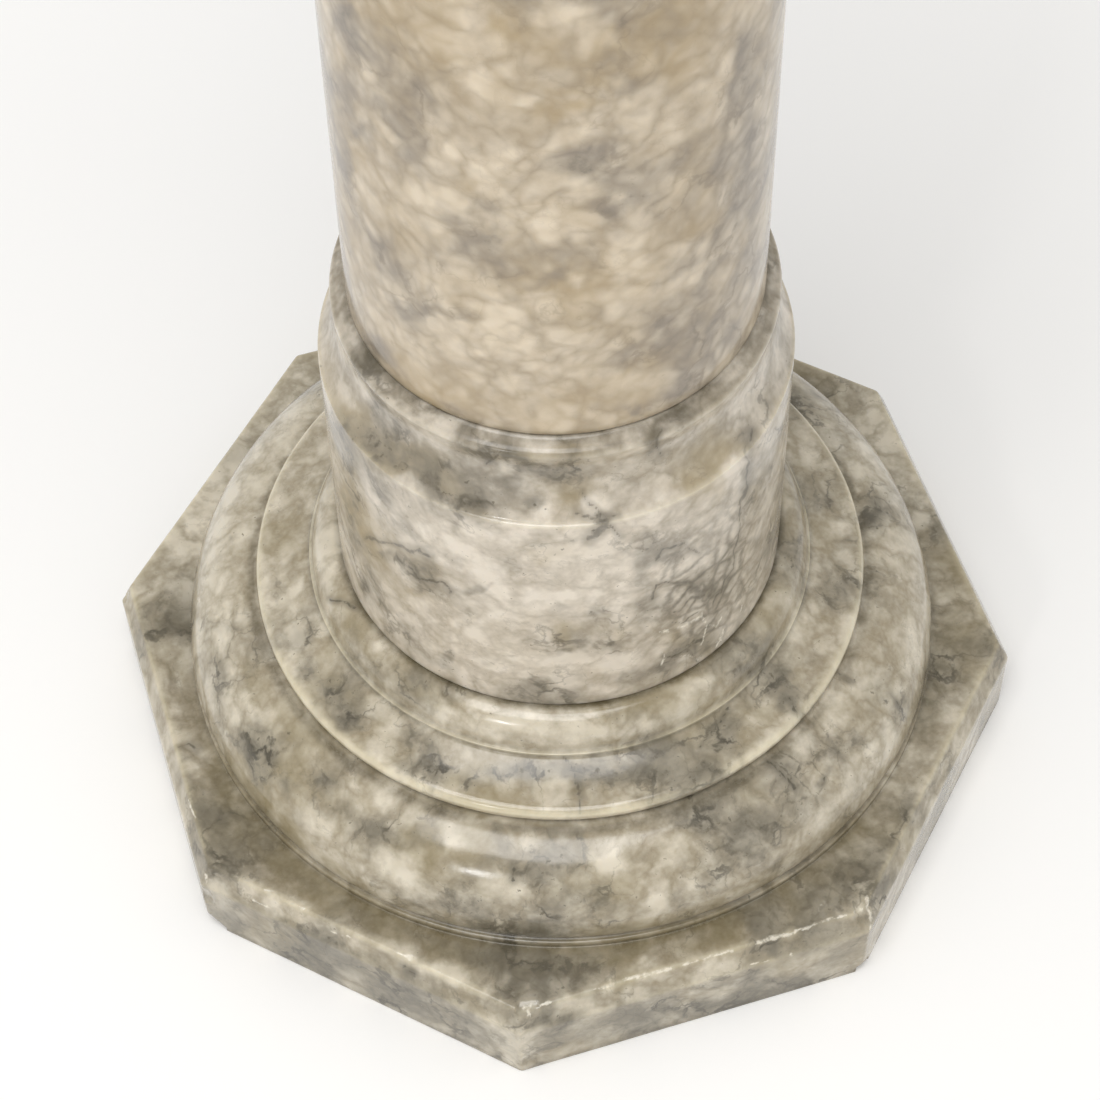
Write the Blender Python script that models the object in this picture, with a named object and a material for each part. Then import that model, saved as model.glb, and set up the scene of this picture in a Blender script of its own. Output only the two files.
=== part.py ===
# A marble pedestal: an octagonal plinth carved in one with its turned base,
# a collar drum, a tall shaft, a neck drum and a cap that ends in an octagonal top.
# Metres, +Z up, origin at the middle of the underside, flats of the octagons facing X and Y.

import math

import bmesh
import bpy

# Joints and facets
JOINT_GAP = 0.0003  # between stones that stand on each other
SEAT_EDGE = 0.0002  # by which a seat shows beyond the stone that stands on it
SIDES = 64  # facets round a turned stone
ROLL_FACETS = 5
BAND_FACETS = 3
NOSE_FACETS = 6  # also of the cap's nose
TORUS_FACETS = 8
LIP_FACETS = 3
ARRIS_FACETS = 2
HOLLOW_FACETS = 5
RIM_FACETS = 5
NECK_RIM_FACETS = 4
NECK_HOLLOW_FACETS = 3
CAP_ROUND_FACETS = 7
OCTAGON = 8  # sides of the plinth and of the top

# Shaft
SHAFT_LENGTH = 0.640
SHAFT_FOOT_RADIUS = 0.0648
SHAFT_HEAD_RADIUS = 0.0623

# Lower collar, a drum with a hollow and a rounded rim above it
DRUM_RADIUS = 0.0757
DRUM_HEIGHT = 0.1015
DRUM_TAPER = 0.0003  # by which its head is slimmer than its foot
DRUM_ARRIS = 0.0006
HOLLOW_HEIGHT = 0.0242
HOLLOW_DEPTH = 0.0030
RIM_RADIUS = 0.0023
RIM_OVERHANG = 0.0050  # of the rim beyond the shaft
RIM_SLOPE_RISE = 0.0024

# Turned base, from its seat outwards and down
ROLL_WIDTH = 0.0103
ROLL_HEIGHT = 0.0122
THIN_FILLET_LEDGE = 0.0011
THIN_FILLET_HEIGHT = 0.0012
BAND_WIDTH = 0.0159
BAND_FALL = 0.0045
BAND_SAG = 0.0005
NOSE_RADIUS = 0.0033
QUIRK_HEIGHT = 0.0003  # of the groove under the nose
TORUS_SETOUT = 0.0008  # of the torus's middle beyond the nose's
TORUS_RADIUS = 0.0290
LIP_RADIUS = 0.0027
FOOT_FILLET_STEP = 0.0013
FOOT_FILLET_HEIGHT = 0.0036

# Plinth, 300 mm across its flats
PLINTH_MARGIN = 0.0117  # from the foot fillet to the flats' top arris
PLINTH_SIDE_HEIGHT = 0.0290
PLINTH_BEVEL_IN = 0.0040
PLINTH_BEVEL_RISE = 0.0087

# Neck drum under the cap, plainer than the lower collar
NECK_HEIGHT = 0.0440
NECK_RADIUS = 0.0730
NECK_ARRIS = 0.0006
NECK_HOLLOW_HEIGHT = 0.0160
NECK_HOLLOW_DEPTH = 0.0020

# Cap, a rounded disc, a quarter round and an octagonal slab
CAP_DISC_WIDTH = 0.0240  # beyond the neck drum, to the middle of the disc's nose
CAP_NOSE_RADIUS = 0.0033
CAP_ROUND_WIDTH = 0.0260
CAP_ROUND_HEIGHT = 0.0260
CAP_MARGIN = 0.0120
CAP_SIDE_HEIGHT = 0.0270
CAP_BEVEL = 0.0040

BLOCK_ROOT = 0.010  # by which turned work runs into its octagonal block

# Colours of the stones, linear
BASE_STONE = (0.50, 0.45, 0.36)
COLLAR_STONE = (0.58, 0.54, 0.46)
SHAFT_STONE = (0.60, 0.51, 0.39)

QUARTER = math.pi / 2
RIM_START = math.radians(75)  # where the slope above the collar's rim turns into it
TURNED_CREASE = math.radians(32)  # edges that turn more than this stay sharp
CARVED_CREASE = math.radians(20)


def rounded(centre, width, height, start, end, steps):
    """Points along part of an ellipse, as (radius, height), from one angle to another."""
    turns = [start + (end - start) * step / steps for step in range(steps + 1)]
    return [(centre[0] + width * math.cos(a), centre[1] + height * math.sin(a)) for a in turns]


def hollowed(start, end, depth, steps):
    """Points between two ends, sunk in a shallow arc towards the axis or down."""
    run = (end[0] - start[0], end[1] - start[1])
    length = math.hypot(*run)
    inward = (run[1] / length, -run[0] / length)
    points = []
    for step in range(1, steps):
        share = step / steps
        sunk = depth * 4 * share * (1 - share)
        points.append((
            start[0] + run[0] * share + inward[0] * sunk,
            start[1] + run[1] * share + inward[1] * sunk,
        ))
    return points


def stone(name, colour):
    material = bpy.data.materials.new(name)
    material.use_nodes = True
    shader = material.node_tree.nodes["Principled BSDF"]
    shader.inputs["Base Color"].default_value = (*colour, 1)
    shader.inputs["Roughness"].default_value = 0.22
    shader.inputs["Metallic"].default_value = 0.0
    return material


def add_object(name, mesh, material, height):
    mesh.materials.append(material)
    obj = bpy.data.objects.new(name, mesh)
    bpy.context.scene.collection.objects.link(obj)
    obj.location.z = height
    return obj


def turned(name, profile, material, height):
    """A solid turned about the Z axis, from a profile that runs from the top's middle to the foot's."""
    mesh = bpy.data.meshes.new(name)
    work = bmesh.new()
    verts = [work.verts.new((radius, 0, z)) for radius, z in profile]
    for upper, lower in zip(verts, verts[1:]):
        work.edges.new((upper, lower))
    bmesh.ops.spin(
        work,
        geom=work.verts[:] + work.edges[:],
        axis=(0, 0, 1),
        cent=(0, 0, 0),
        steps=SIDES,
        angle=math.tau,
        use_merge=True,
    )
    bmesh.ops.remove_doubles(work, verts=work.verts, dist=0.00001)
    bmesh.ops.recalc_face_normals(work, faces=work.faces)
    work.to_mesh(mesh)
    work.free()
    mesh.shade_smooth()
    mesh.set_sharp_from_angle(angle=TURNED_CREASE)
    return add_object(name, mesh, material, height)


def octagonal(name, levels, material, height):
    """An octagonal block through levels of (distance from the axis to a flat, height), from the foot up."""
    mesh = bpy.data.meshes.new(name)
    work = bmesh.new()
    rings = []
    half = math.pi / OCTAGON
    for flat, z in levels:
        corner = flat / math.cos(half)
        angles = [half + side * 2 * half for side in range(OCTAGON)]
        rings.append([work.verts.new((corner * math.cos(a), corner * math.sin(a), z)) for a in angles])
    for lower, upper in zip(rings, rings[1:]):
        for side in range(OCTAGON):
            after = (side + 1) % OCTAGON
            work.faces.new((lower[side], lower[after], upper[after], upper[side]))
    work.faces.new(reversed(rings[0]))
    work.faces.new(rings[-1])
    work.to_mesh(mesh)
    work.free()
    return add_object(name, mesh, material, height)


def carve_as_one(block, mouldings):
    """Joins turned work to its octagonal block, because both are carved from one stone."""
    union = block.modifiers.new("carved as one", "BOOLEAN")
    union.operation = "UNION"
    union.solver = "EXACT"
    union.object = mouldings
    mouldings.hide_render = True
    mouldings.display_type = "WIRE"
    block.data.shade_smooth()
    block.data.set_sharp_from_angle(angle=CARVED_CREASE)


def base_profile(block_top):
    """The turned base in heights above the ground, and its width at the foot."""
    fillet_top = block_top + FOOT_FILLET_HEIGHT
    torus_foot = fillet_top + LIP_RADIUS
    torus_top = torus_foot + TORUS_RADIUS
    nose_middle = torus_top + QUIRK_HEIGHT + NOSE_RADIUS
    band_foot = nose_middle + NOSE_RADIUS
    fillet_foot = band_foot + BAND_FALL
    roll_foot = fillet_foot + THIN_FILLET_HEIGHT
    seat_top = roll_foot + ROLL_HEIGHT

    seat_radius = DRUM_RADIUS + SEAT_EDGE
    roll_radius = seat_radius + ROLL_WIDTH
    thin_radius = roll_radius + THIN_FILLET_LEDGE
    nose_radius = thin_radius + BAND_WIDTH
    torus_radius = nose_radius + TORUS_SETOUT
    torus_edge = torus_radius + TORUS_RADIUS
    foot_radius = torus_edge + FOOT_FILLET_STEP

    roll = rounded((seat_radius, roll_foot), ROLL_WIDTH, ROLL_HEIGHT, QUARTER, 0, ROLL_FACETS)
    nose = rounded(
        (nose_radius, nose_middle), NOSE_RADIUS, NOSE_RADIUS, QUARTER, -QUARTER, NOSE_FACETS
    )
    torus = rounded(
        (torus_radius, torus_foot), TORUS_RADIUS, TORUS_RADIUS, QUARTER, 0, TORUS_FACETS
    )
    lip = rounded(
        (torus_edge - LIP_RADIUS, torus_foot), LIP_RADIUS, LIP_RADIUS, 0, -QUARTER, LIP_FACETS
    )
    thin = [(thin_radius, roll_foot), (thin_radius, fillet_foot)]
    band = hollowed(thin[-1], nose[0], BAND_SAG, BAND_FACETS)
    foot = [(foot_radius, fillet_top), (foot_radius, block_top - BLOCK_ROOT), (0, block_top - BLOCK_ROOT)]
    profile = [(0, seat_top)] + roll + thin + band + nose + [(nose_radius, torus_top)]
    return profile + torus + lip[1:] + foot, foot_radius, seat_top


def make_base():
    block_top = PLINTH_SIDE_HEIGHT + PLINTH_BEVEL_RISE
    profile, foot_radius, seat_top = base_profile(block_top)
    top_flat = foot_radius + PLINTH_MARGIN
    side_flat = top_flat + PLINTH_BEVEL_IN
    levels = [(side_flat, 0), (side_flat, PLINTH_SIDE_HEIGHT), (top_flat, block_top)]
    material = stone("base stone", BASE_STONE)
    plinth = octagonal("base_block", levels, material, 0)
    carve_as_one(plinth, turned("base mouldings", profile, material, 0))
    return seat_top


def make_lower_collar(ground):
    head_radius = DRUM_RADIUS - DRUM_TAPER
    rim_middle = SHAFT_FOOT_RADIUS + RIM_OVERHANG - RIM_RADIUS
    rim_height = DRUM_HEIGHT + HOLLOW_HEIGHT + RIM_RADIUS
    seat_top = rim_height + RIM_RADIUS + RIM_SLOPE_RISE
    arris_middle = (head_radius - DRUM_ARRIS, DRUM_HEIGHT - DRUM_ARRIS)
    arris = rounded(arris_middle, DRUM_ARRIS, DRUM_ARRIS, QUARTER, 0, ARRIS_FACETS)
    rim = rounded(
        (rim_middle, rim_height), RIM_RADIUS, RIM_RADIUS, RIM_START, -QUARTER, RIM_FACETS
    )
    profile = [(0, seat_top), (SHAFT_FOOT_RADIUS + SEAT_EDGE, seat_top)]
    profile += rim + hollowed(rim[-1], arris[0], HOLLOW_DEPTH, HOLLOW_FACETS) + arris
    profile += [(DRUM_RADIUS, 0), (0, 0)]
    turned("lower_collar", profile, stone("collar stone", COLLAR_STONE), ground)
    return ground + seat_top


def make_shaft(ground):
    profile = [(0, SHAFT_LENGTH), (SHAFT_HEAD_RADIUS, SHAFT_LENGTH), (SHAFT_FOOT_RADIUS, 0), (0, 0)]
    turned("shaft", profile, stone("shaft stone", SHAFT_STONE), ground)
    return ground + SHAFT_LENGTH


def make_neck_drum(ground):
    rim_middle = SHAFT_HEAD_RADIUS + RIM_OVERHANG - RIM_RADIUS
    drum_foot = 2 * RIM_RADIUS + NECK_HOLLOW_HEIGHT
    head = drum_foot + NECK_HEIGHT
    rim = rounded(
        (rim_middle, RIM_RADIUS), RIM_RADIUS, RIM_RADIUS, QUARTER, -QUARTER, NECK_RIM_FACETS
    )
    arris_middle = (NECK_RADIUS - NECK_ARRIS, drum_foot + NECK_ARRIS)
    arris = rounded(arris_middle, NECK_ARRIS, NECK_ARRIS, 0, -QUARTER, ARRIS_FACETS)
    profile = [(0, head), (NECK_RADIUS, head)] + arris
    profile += hollowed(arris[-1], rim[0], NECK_HOLLOW_DEPTH, NECK_HOLLOW_FACETS)
    profile += rim + [(0, 0)]
    turned("neck_drum", profile, stone("neck stone", COLLAR_STONE), ground)
    return ground + head


def make_cap(ground):
    nose_radius = NECK_RADIUS + SEAT_EDGE + CAP_DISC_WIDTH
    round_foot = 2 * CAP_NOSE_RADIUS
    slab_foot = round_foot + CAP_ROUND_HEIGHT
    slab_top = slab_foot + CAP_SIDE_HEIGHT + 2 * CAP_BEVEL
    round_edge = nose_radius + CAP_ROUND_WIDTH
    nose = rounded(
        (nose_radius, CAP_NOSE_RADIUS), CAP_NOSE_RADIUS, CAP_NOSE_RADIUS, QUARTER, -QUARTER, NOSE_FACETS
    )
    quarter_round = rounded(
        (nose_radius, slab_foot), CAP_ROUND_WIDTH, CAP_ROUND_HEIGHT, 0, -QUARTER, CAP_ROUND_FACETS
    )
    profile = [(0, slab_foot + BLOCK_ROOT), (round_edge, slab_foot + BLOCK_ROOT)]
    profile += quarter_round + nose[1:] + [(0, 0)]

    under_flat = round_edge + CAP_MARGIN
    side_flat = under_flat + CAP_BEVEL
    levels = [
        (under_flat, slab_foot),
        (side_flat, slab_foot + CAP_BEVEL),
        (side_flat, slab_top - CAP_BEVEL),
        (under_flat, slab_top),
    ]
    material = stone("cap stone", BASE_STONE)
    slab = octagonal("cap_block", levels, material, ground)
    carve_as_one(slab, turned("cap mouldings", profile, material, ground))


def main():
    for obj in list(bpy.data.objects):
        bpy.data.objects.remove(obj)
    base_top = make_base()
    collar_top = make_lower_collar(base_top + JOINT_GAP)
    shaft_top = make_shaft(collar_top + JOINT_GAP)
    neck_top = make_neck_drum(shaft_top + JOINT_GAP)
    make_cap(neck_top + JOINT_GAP)


main()
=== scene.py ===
import math

import bpy
import numpy as np
from mathutils import Matrix, Vector, noise


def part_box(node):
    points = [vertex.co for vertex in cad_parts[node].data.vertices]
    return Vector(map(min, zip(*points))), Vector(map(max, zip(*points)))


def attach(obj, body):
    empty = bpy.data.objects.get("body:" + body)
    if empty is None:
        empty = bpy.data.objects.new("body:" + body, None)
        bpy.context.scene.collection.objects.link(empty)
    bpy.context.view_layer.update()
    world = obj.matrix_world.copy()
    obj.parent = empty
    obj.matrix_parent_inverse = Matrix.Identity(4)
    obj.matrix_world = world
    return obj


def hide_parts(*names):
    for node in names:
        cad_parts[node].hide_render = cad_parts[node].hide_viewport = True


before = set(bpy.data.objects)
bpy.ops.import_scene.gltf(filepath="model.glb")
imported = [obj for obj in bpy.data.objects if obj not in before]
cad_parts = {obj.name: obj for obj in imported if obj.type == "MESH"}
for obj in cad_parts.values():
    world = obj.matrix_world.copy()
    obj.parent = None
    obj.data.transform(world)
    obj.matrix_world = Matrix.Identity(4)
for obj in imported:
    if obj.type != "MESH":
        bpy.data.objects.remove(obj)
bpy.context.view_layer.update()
print("frame loaded")

# Places are in millimetres, and marks are in pixels of the 1100 x 1100 photograph
mm = 0.001
photo = {
    "size": 1100,
    "focal": 2853.8,  # pixels
    "sensor": 36.0,
    "reach": 0.5689,  # of the camera from the pedestal's axis
    "height": 0.9005,
    "azimuth": -106.893,  # where the camera stands, seen from the axis
    "pitch": 55.305,  # below the horizon
    "yaw": -0.193,
    "roll": 0.924,
}


def add(tree, kind, settings={}, inputs={}, out=0):
    node = tree.nodes.new(kind)
    for name, value in settings.items():
        setattr(node, name, value)
    for name, value in inputs.items():
        if isinstance(value, bpy.types.NodeSocket):
            tree.links.new(value, node.inputs[name])
        else:
            node.inputs[name].default_value = value
    return node if out is None else node.outputs[out]


def linear(colour):
    parts = [int(colour[place:place + 2], 16) / 255 for place in (1, 3, 5)]
    return (*[p / 12.92 if p <= 0.04045 else ((p + 0.055) / 1.055) ** 2.4 for p in parts], 1)


# Camera, at the photograph's place
def photoAxes():
    turn = Matrix.Rotation(math.radians(photo["azimuth"] + 90), 3, "Z")
    pitch = Matrix.Rotation(-math.radians(photo["pitch"] + 90), 3, "X")
    yaw = Matrix.Rotation(math.radians(photo["yaw"]), 3, "Y")
    roll = Matrix.Rotation(math.radians(photo["roll"]), 3, "Z")
    return turn @ pitch @ yaw @ roll, turn @ Vector((0, -photo["reach"], photo["height"]))


cameraAxes, cameraPlace = photoAxes()


def makeCamera():
    camera = bpy.data.objects.new("camera", bpy.data.cameras.new("camera"))
    bpy.context.scene.collection.objects.link(camera)
    right, down, ahead = cameraAxes.col
    turned = Matrix((right, -down, -ahead)).transposed().to_4x4()
    camera.matrix_world = Matrix.Translation(cameraPlace) @ turned
    camera.data.sensor_width = photo["sensor"]
    camera.data.lens = photo["focal"] * photo["sensor"] / photo["size"]
    bpy.context.scene.camera = camera


def onPhoto(points):
    # pixels where points in the scene fall, and how square each faces the camera
    away = points - np.array(cameraPlace)
    local = away @ np.array(cameraAxes)
    pixels = local[:, :2] / local[:, 2:] * photo["focal"] + photo["size"] / 2
    return pixels, -away / np.linalg.norm(away, axis=1)[:, None]


makeCamera()
print("camera placed")


# Outline pieces, as (distance from the axis, height) from the foot up
def run(start, end, step):
    length = math.dist(start, end)
    count = max(1, round(length / step))
    return [(start[0] + (end[0] - start[0]) * i / count, start[1] + (end[1] - start[1]) * i / count)
            for i in range(count + 1)]


def arc(centre, across, up, start, end, step):
    count = max(2, round(math.radians(abs(end - start)) * max(across, up) / step))
    turns = [math.radians(start + (end - start) * i / count) for i in range(count + 1)]
    return [(centre[0] + across * math.cos(a), centre[1] + up * math.sin(a)) for a in turns]


def dished(start, end, depth, step):
    # a shallow hollow between two ends
    across, up = end[0] - start[0], end[1] - start[1]
    length = math.hypot(across, up)
    points = []
    for r, z in run(start, end, step):
        share = math.dist(start, (r, z)) / length
        sunk = depth * 4 * share * (1 - share)
        points.append((r - up / length * sunk, z + across / length * sunk))
    return points


def eased(before, corner, after, size):
    # an arris taken off by rubbing, as a short curve
    into = Vector(before) - Vector(corner)
    onward = Vector(after) - Vector(corner)
    start = Vector(corner) + into.normalized() * size
    end = Vector(corner) + onward.normalized() * size
    shares = (0, 0.33, 0.67, 1)
    return [tuple(start * (1 - t) ** 2 + Vector(corner) * 2 * t * (1 - t) + end * t * t) for t in shares]


octagonSides = 8
mergeWithin = 0.01 * mm


# Geometry Nodes tree that turns an outline into a closed stone
def makeTurningTree():
    tree = bpy.data.node_groups.new("turned stone", "GeometryNodeTree")
    sockets = [
        ("Outline", "INPUT", "NodeSocketGeometry", None),
        ("Columns", "INPUT", "NodeSocketInt", 512),
        ("Crowding", "INPUT", "NodeSocketFloat", 1.0),
        ("Corner Wear", "INPUT", "NodeSocketFloat", 0.0015),
        ("Corner Blend", "INPUT", "NodeSocketFloat", 0.003),
        ("Unevenness", "INPUT", "NodeSocketFloat", 0.0002),
        ("Wave Length", "INPUT", "NodeSocketFloat", 0.02),
        ("Material", "INPUT", "NodeSocketMaterial", None),
        ("Stone", "OUTPUT", "NodeSocketGeometry", None),
    ]
    for name, way, kind, value in sockets:
        socket = tree.interface.new_socket(name, in_out=way, socket_type=kind)
        if value is not None:
            socket.default_value = value
    given = add(tree, "NodeGroupInput", out=None).outputs
    outline = given["Outline"]
    rows = add(tree, "GeometryNodeAttributeDomainSize", {"component": "MESH"},
               {"Geometry": outline}, "Point Count")
    across = add(tree, "ShaderNodeMath", {"operation": "ADD"}, {0: given["Columns"], 1: 1.0})
    grid = add(tree, "GeometryNodeMeshGrid", {}, {"Vertices X": across, "Vertices Y": rows}, "Mesh")
    index = add(tree, "GeometryNodeInputIndex")
    middle = add(tree, "ShaderNodeMath", {"operation": "ADD"}, {0: index, 1: 0.5})
    ratio = add(tree, "ShaderNodeMath", {"operation": "DIVIDE"}, {0: middle, 1: rows})
    column = add(tree, "ShaderNodeMath", {"operation": "FLOOR"}, {0: ratio})
    passed = add(tree, "ShaderNodeMath", {"operation": "MULTIPLY"}, {0: column, 1: rows})
    row = add(tree, "ShaderNodeMath", {"operation": "SUBTRACT"}, {0: index, 1: passed})

    # angle, with the columns crowded towards the octagon's corners
    share = add(tree, "ShaderNodeMath", {"operation": "DIVIDE"}, {0: column, 1: given["Columns"]})
    sector = add(tree, "ShaderNodeMath", {"operation": "MULTIPLY"}, {0: share, 1: octagonSides})
    nearest = add(tree, "ShaderNodeMath", {"operation": "ROUND"}, {0: sector})
    offset = add(tree, "ShaderNodeMath", {"operation": "SUBTRACT"}, {0: sector, 1: nearest})
    side = add(tree, "ShaderNodeMath", {"operation": "SIGN"}, {0: offset})
    reach = add(tree, "ShaderNodeMath", {"operation": "ABSOLUTE"}, {0: offset})
    spare = add(tree, "ShaderNodeMath", {"operation": "MULTIPLY_ADD"}, {0: reach, 1: -2.0, 2: 1.0})
    spare = add(tree, "ShaderNodeMath", {"operation": "MAXIMUM"}, {0: spare, 1: 0.0})
    spare = add(tree, "ShaderNodeMath", {"operation": "POWER"}, {0: spare, 1: given["Crowding"]})
    crowded = add(tree, "ShaderNodeMath", {"operation": "SUBTRACT"}, {0: 1.0, 1: spare})
    crowded = add(tree, "ShaderNodeMath", {"operation": "MULTIPLY"}, {0: crowded, 1: side})
    local = add(tree, "ShaderNodeMath", {"operation": "MULTIPLY"}, {0: crowded, 1: math.pi / octagonSides})
    angle = add(tree, "ShaderNodeMath", {"operation": "MULTIPLY_ADD"},
                {0: nearest, 1: math.tau / octagonSides, 2: local})

    # place on the outline, drawn out to an octagon where its row says so
    place = add(tree, "GeometryNodeInputPosition")
    place = add(tree, "GeometryNodeSampleIndex", {"data_type": "FLOAT_VECTOR"},
                {"Geometry": outline, "Value": place, "Index": row})
    # each row's corner darkening, partly dirt and partly painted shade; its arris paling, partly rubbing
    # and partly a painted highlight; and its share of the octagon
    wearShadeLight = add(tree, "GeometryNodeInputNamedAttribute", {"data_type": "FLOAT_VECTOR"}, {"Name": "wearShadeLight"})
    wearShadeLight = add(tree, "GeometryNodeSampleIndex", {"data_type": "FLOAT_VECTOR"},
               {"Geometry": outline, "Value": wearShadeLight, "Index": row})
    stored = add(tree, "GeometryNodeStoreNamedAttribute", {"data_type": "FLOAT_VECTOR", "domain": "POINT"},
                 {"Geometry": grid, "Name": "wearShadeLight", "Value": wearShadeLight})
    placeParts = add(tree, "ShaderNodeSeparateXYZ", {}, {0: place}, None).outputs
    octagon = add(tree, "ShaderNodeSeparateXYZ", {}, {0: wearShadeLight}, "Z")
    slant = add(tree, "ShaderNodeMath", {"operation": "COSINE"}, {0: local})
    drawn = add(tree, "ShaderNodeMath", {"operation": "DIVIDE"}, {0: 1.0, 1: slant})
    corner = 1 / math.cos(math.pi / octagonSides)
    corner = add(tree, "ShaderNodeMath", {"operation": "SUBTRACT"}, {0: corner, 1: given["Corner Wear"]})
    drawn = add(tree, "ShaderNodeMath", {"operation": "SMOOTH_MIN"},
                {0: drawn, 1: corner, 2: given["Corner Blend"]})
    drawn = add(tree, "ShaderNodeMath", {"operation": "SUBTRACT"}, {0: drawn, 1: 1.0})
    drawn = add(tree, "ShaderNodeMath", {"operation": "MULTIPLY_ADD"}, {0: drawn, 1: octagon, 2: 1.0})
    radius = add(tree, "ShaderNodeMath", {"operation": "MULTIPLY"}, {0: placeParts["X"], 1: drawn})
    cosine = add(tree, "ShaderNodeMath", {"operation": "COSINE"}, {0: angle})
    sine = add(tree, "ShaderNodeMath", {"operation": "SINE"}, {0: angle})
    x = add(tree, "ShaderNodeMath", {"operation": "MULTIPLY"}, {0: radius, 1: cosine})
    y = add(tree, "ShaderNodeMath", {"operation": "MULTIPLY"}, {0: radius, 1: sine})
    point = add(tree, "ShaderNodeCombineXYZ", {}, {"X": x, "Y": y, "Z": placeParts["Z"]})
    shaped = add(tree, "GeometryNodeSetPosition", {}, {"Geometry": stored, "Position": point})
    closed = add(tree, "GeometryNodeMergeByDistance", {}, {"Geometry": shaped, "Distance": mergeWithin})

    # hand rubbing leaves the faces slightly uneven, always inwards
    scale = add(tree, "ShaderNodeMath", {"operation": "DIVIDE"}, {0: 1.0, 1: given["Wave Length"]})
    wave = add(tree, "ShaderNodeTexNoise", {}, {"Scale": scale, "Detail": 3.0}, "Fac")
    wave = add(tree, "ShaderNodeMath", {"operation": "MULTIPLY"}, {0: wave, 1: given["Unevenness"]})
    inward = add(tree, "ShaderNodeMath", {"operation": "MULTIPLY"}, {0: wave, 1: -1.0})
    normal = add(tree, "GeometryNodeInputNormal")
    shift = add(tree, "ShaderNodeVectorMath", {"operation": "SCALE"}, {0: normal, "Scale": inward})
    rubbed = add(tree, "GeometryNodeSetPosition", {}, {"Geometry": closed, "Offset": shift})
    smooth = add(tree, "GeometryNodeSetShadeSmooth", {}, {"Geometry": rubbed, "Shade Smooth": True})
    whole = add(tree, "GeometryNodeRealizeInstances", {}, {"Geometry": smooth})
    dressed = add(tree, "GeometryNodeSetMaterial", {}, {"Geometry": whole, "Material": given["Material"]})
    add(tree, "NodeGroupOutput", {}, {"Stone": dressed}, None)
    return tree


turningTree = makeTurningTree()


def level(radii, height):
    # rows across a flat end of a stone
    return [(r, height) for r in radii]


def nearness(rows, spots):
    # how near each row of the outline lies to spots of (distance from the axis, height, reach, strength)
    near = np.zeros(len(rows))
    for r, z, reach, strength in spots:
        away = np.array([math.hypot(row[0] - r, row[1] - z) for row in rows])
        near = np.maximum(near, strength * np.exp(-(away / reach) ** 2))
    return near


def turnStone(name, rows, octagon, settings, material):
    # rows are the outline, octagon is each row's share of the octagonal form
    outline = bpy.data.meshes.new(name + " outline")
    points = [(r * mm, 0, z * mm) for r, z in rows]
    outline.from_pydata(points, [(i, i + 1) for i in range(len(rows) - 1)], [])
    # corner darkening is partly dirt and partly painted shade; arris paling is partly rubbing and partly a
    # painted highlight
    grime, arris = nearness(rows, settings["grimeAt"]), nearness(rows, settings["arrisAt"])
    wearShadeLight = np.column_stack((grime, arris, octagon))
    attribute = outline.attributes.new("wearShadeLight", "FLOAT_VECTOR", "POINT")
    attribute.data.foreach_set("vector", wearShadeLight.astype(np.float32).ravel())
    maker = bpy.data.objects.new(name + " outline", outline)
    bpy.context.scene.collection.objects.link(maker)
    modifier = maker.modifiers.new("turned", "NODES")
    modifier.node_group = turningTree
    values = {
        "Columns": settings["columns"],
        "Crowding": settings["crowding"],
        "Corner Wear": settings["cornerWear"],
        "Corner Blend": settings["cornerBlend"],
        "Unevenness": settings["unevenness"] * mm,
        "Wave Length": settings["waveLength"] * mm,
        "Material": material,
    }
    for socket in turningTree.interface.items_tree:
        if socket.name in values:
            modifier[socket.identifier] = values[socket.name]
    graph = bpy.context.evaluated_depsgraph_get()
    mesh = bpy.data.meshes.new_from_object(maker.evaluated_get(graph))
    mesh.name = name
    bpy.data.objects.remove(maker)
    piece = bpy.data.objects.new(name, mesh)
    bpy.context.scene.collection.objects.link(piece)
    return piece


# Marks of the photograph, carried onto the side that it shows
marking = {
    "fadeFrom": 0.3,  # how square a face looks at the camera where its marks begin to fade
    "chipFrom": 0.05,  # and where it can have no chip
    "noiseStart": 1,  # without it the noise of the outlines follows the clock
    # wave length and amount of the bends that make outlines ragged, in pixels
    "cloudBends": [(30, 9), (9, 5)], "veinBends": [(16, 4), (5, 1.5)], "scarGlintBends": [(6, 1.5)],
}


def spotField(pixels, spots):
    # spots are (x, y, half width, half height, lean in degrees, strength)
    field = np.zeros(len(pixels))
    for x, y, wide, high, lean, strength in spots:
        c, s = math.cos(math.radians(lean)), math.sin(math.radians(lean))
        dx, dy = pixels[:, 0] - x, pixels[:, 1] - y
        along, over = (dx * c + dy * s) / wide, (dy * c - dx * s) / high
        field += strength * np.exp(-(along ** 2 + over ** 2))
    return field


def veinField(pixels, veins, spread=6.0):
    # veins are (half width, points); 1 on a vein, and 0 at spread half widths from it
    near = np.zeros(len(pixels))
    for half, points in veins:
        for start, end in zip(points, points[1:]):
            start, step = np.array(start, float), np.subtract(end, start)
            along = np.clip((pixels - start) @ step / max(step @ step, 1e-9), 0, 1)
            gap = np.linalg.norm(pixels - start - along[:, None] * step, axis=1)
            near = np.maximum(near, 1 - gap / (half * spread))
    return near


def readMesh(mesh):
    points = np.empty(len(mesh.vertices) * 3, np.float32)
    mesh.vertices.foreach_get("co", points)
    normals = np.empty(len(mesh.vertices) * 3, np.float32)
    mesh.vertices.foreach_get("normal", normals)
    return points.reshape(-1, 3).astype(float), normals.reshape(-1, 3).astype(float)


noise.seed_set(marking["noiseStart"])


def ragged(pixels, seen, bends):
    # pixels shifted by noise of (wave length, amount), so that marks get ragged outlines
    moved = pixels.copy()
    for i in np.flatnonzero(seen > 0):
        for length, amount in bends:
            moved[i] += np.array(noise.noise_vector((*(pixels[i] / length), amount))[:2]) * amount
    return moved


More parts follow.
